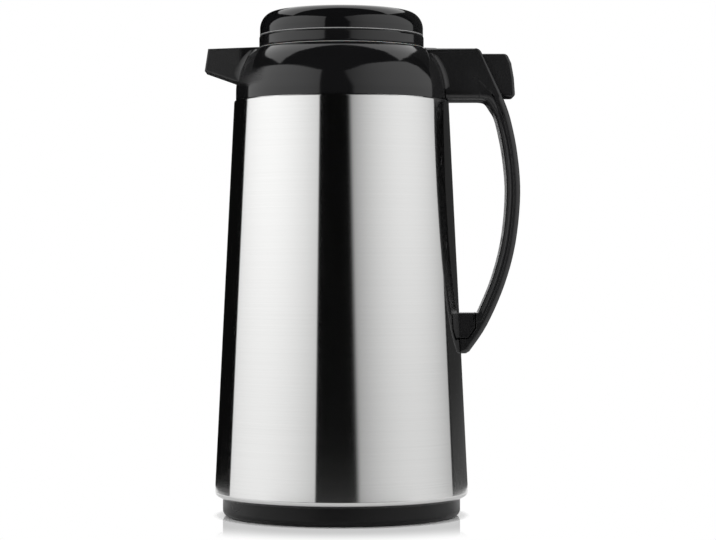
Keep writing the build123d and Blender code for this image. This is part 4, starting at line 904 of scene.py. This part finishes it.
# ---- Thumb lever, its pin and spring ----
# A black moulding that rocks on a steel pin between the block's cheeks. Pressing its back
# edge lifts the nose at the other end, and a coil spring underneath brings it back.
lever_half, lever_wall, arm_half = 10.5, 2.2, 6.0
pin_x, pin_z, boss_r = 72.0, 270.0, 5.2
boss = [(pin_x + boss_r * cos(radians(a)), pin_z + boss_r * sin(radians(a)), 0.4, 0)
        for a in range(270, 179, -15)]
lever_corners = [
    *boss,
    (66.8, 279.5, 1.0, 0.8),
    (83.6, 279.5, 1.0, 0.6),
    (85.6, 281.8, 1.8, 0),
    (100.8, 281.8, 1.8, 3.0),
    (103.5, 276.0, 1.8, 0),
    (105.1, 266.8, 1.8, 0),
    (105.9, 255.3, 1.8, 2.0),
    (99.3, 255.3, 0.5, 0),
    (96.6, 258.5, 0.5, 0),
    (91.5, 266.0, 0.5, 0),
    (84.0, 270.0, 0.5, 0),
    (78.6, 264.8, 0.5, 0),
]
lever = finished("thumb_lever_moulding", slab(side_outline(lever_corners), lever_half), grained_black)
hollow = [(86.8, 279.6), (99.7, 279.6), (101.3, 275.6), (102.9, 266.6), (103.7, 257.0), (103.7, 254.0),
          (96.0, 254.0), (91.0, 262.0), (86.8, 268.0)]
lever = cut(lever, hollow, lever_half - lever_wall)
arm_corners = [(41.2, 279.2, 0.5, 0.6), (46.2, 279.2, 0.5, 0.5), (48.4, 277.0, 0.5, 0),
               (pin_x, 277.0, 0.5, 0), (pin_x, 266.5, 0.5, 0), (62.5, 268.0, 0.5, 0),
               (50.0, 273.0, 0.5, 0), (41.2, 275.9, 0.5, 0.6)]
arm = finished("lever_arm", slab(side_outline(arm_corners), arm_half, 3), grained_black)
joined = bmesh.new()
joined.from_mesh(lever.data)
joined.from_mesh(arm.data)
bpy.data.objects.remove(arm)
joined.to_mesh(lever.data)
joined.free()
lever = evened(lever)
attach(lever, "thumb_lever")
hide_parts("thumb_lever")
dress("lever_pin", nickel)
dress("lever_spring", nickel)

# ---- Stopper, valve and spring ----
# The stopper hangs under the lid's base and closes the bowl with a silicone ring. The valve
# in its middle is pushed down by the rocker and pulled shut by a coil spring.
stopper_black = black_moulding("stopper_black", (0.0100, 0.0100, 0.0105),
                               roughness=0.30, grain=0.12, grain_size=0.0006)
dress("stopper_body", stopper_black)
dress("valve_stem", stopper_black)
dress("stopper_gasket", pale_silicone)
dress("valve_seal", pale_silicone)
dress("valve_spring", nickel)

# ---- Lid base, rocker and pins ----
# One moulding: the ring that the dome snaps onto, the plug, the hinge arm and the lugs of the
# rocker, which turns the lever's push into the valve's drop.
lid_black = black_moulding("lid_black", (0.0062, 0.0062, 0.0066),
                           roughness=0.085, grain=0.02, grain_size=0.0004, sheen_patch=0.03)
dress("lid_base", lid_black)
dress("valve_rocker", stopper_black)
dress("rocker_pin", nickel)
dress("lid_hinge_pin", nickel)

# ---- Lid dome ----
# A polished black shell that snaps over the lid's base. It leaves a narrow groove under its
# edge, where the pale satin ring of painted highlight lies.
dome_black = black_moulding("dome_black", (0.0050, 0.0050, 0.0054),
                            roughness=0.06, grain=0.012, grain_size=0.0004, sheen_patch=0.035)
dress("lid_cover", dome_black)


# ---- Satin ring and rim lip: painted highlights ----
# A fine satin ring lies in the groove under the dome. Its pale grey is painted highlight for the bright
# line along the groove. A pale silicone lip under the lid's ring is painted highlight along the collar's
# rim.
def hoop_tree():
    """A round bar of a given section, laid flat in a circle."""
    tree = bpy.data.node_groups.new("hoop", "GeometryNodeTree")
    size = named_inputs(tree, {"Circle radius": 50.0, "Half width": 0.5, "Half height": 0.2, "Level": 0.0})
    way_round = wire(tree, "GeometryNodeCurvePrimitiveCircle")
    way_round.inputs["Resolution"].default_value = round_steps
    tree.links.new(size["Circle radius"], way_round.inputs["Radius"])
    section = wire(tree, "GeometryNodeCurvePrimitiveCircle")
    section.inputs["Resolution"].default_value = 16
    section.inputs["Radius"].default_value = 1.0
    shaped = wire(tree, "GeometryNodeTransform")
    tree.links.new(section.outputs[0], shaped.inputs["Geometry"])
    flat = wire(tree, "ShaderNodeCombineXYZ", size["Half width"], size["Half height"], 1.0)
    tree.links.new(flat.outputs[0], shaped.inputs["Scale"])
    bar = wire(tree, "GeometryNodeCurveToMesh", way_round.outputs[0], shaped.outputs[0])
    raised = wire(tree, "GeometryNodeTransform")
    tree.links.new(bar.outputs[0], raised.inputs["Geometry"])
    level = wire(tree, "ShaderNodeCombineXYZ", None, None, size["Level"])
    tree.links.new(level.outputs[0], raised.inputs["Translation"])
    smooth = wire(tree, "GeometryNodeSetShadeSmooth", raised.outputs[0])
    end_tree(tree, smooth.outputs[0], size["Finish"])
    return tree


def hoop(name, finish, sizes):
    """One ring that rides on the lid; sizes in millimetres."""
    ring = plain_piece(name, maker(name, hoop_group, sizes, finish))
    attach(ring, "lid")
    return ring


hoop_group = hoop_tree()
# Painted highlight: the satin ring's pale grey stands in for the bright line along the groove.
highlight_satin, tree, shader, place = begin_finish("satin_painted_highlight")
tint(tree, shader, (0.42, 0.42, 0.42), mottle(tree, place, 0.02, 0.96, 1.04))
shader.inputs["Roughness"].default_value = 0.55
painted_highlight_ring = hoop("lid_painted_highlight_ring", highlight_satin,
            {"Circle radius": 49.3, "Half width": 0.75, "Half height": 0.28, "Level": 293.45})
# Painted highlight: the pale lip stands in for the bright edge of the collar's rim.
pale_lip_painted_highlight = silicone("pale_lip_painted_highlight", (0.44, 0.44, 0.43), dust=0.04)
painted_highlight_lip = hoop("lid_rim_painted_highlight", pale_lip_painted_highlight,
            {"Circle radius": 50.3, "Half width": 0.55, "Half height": 0.25, "Level": 285.42})
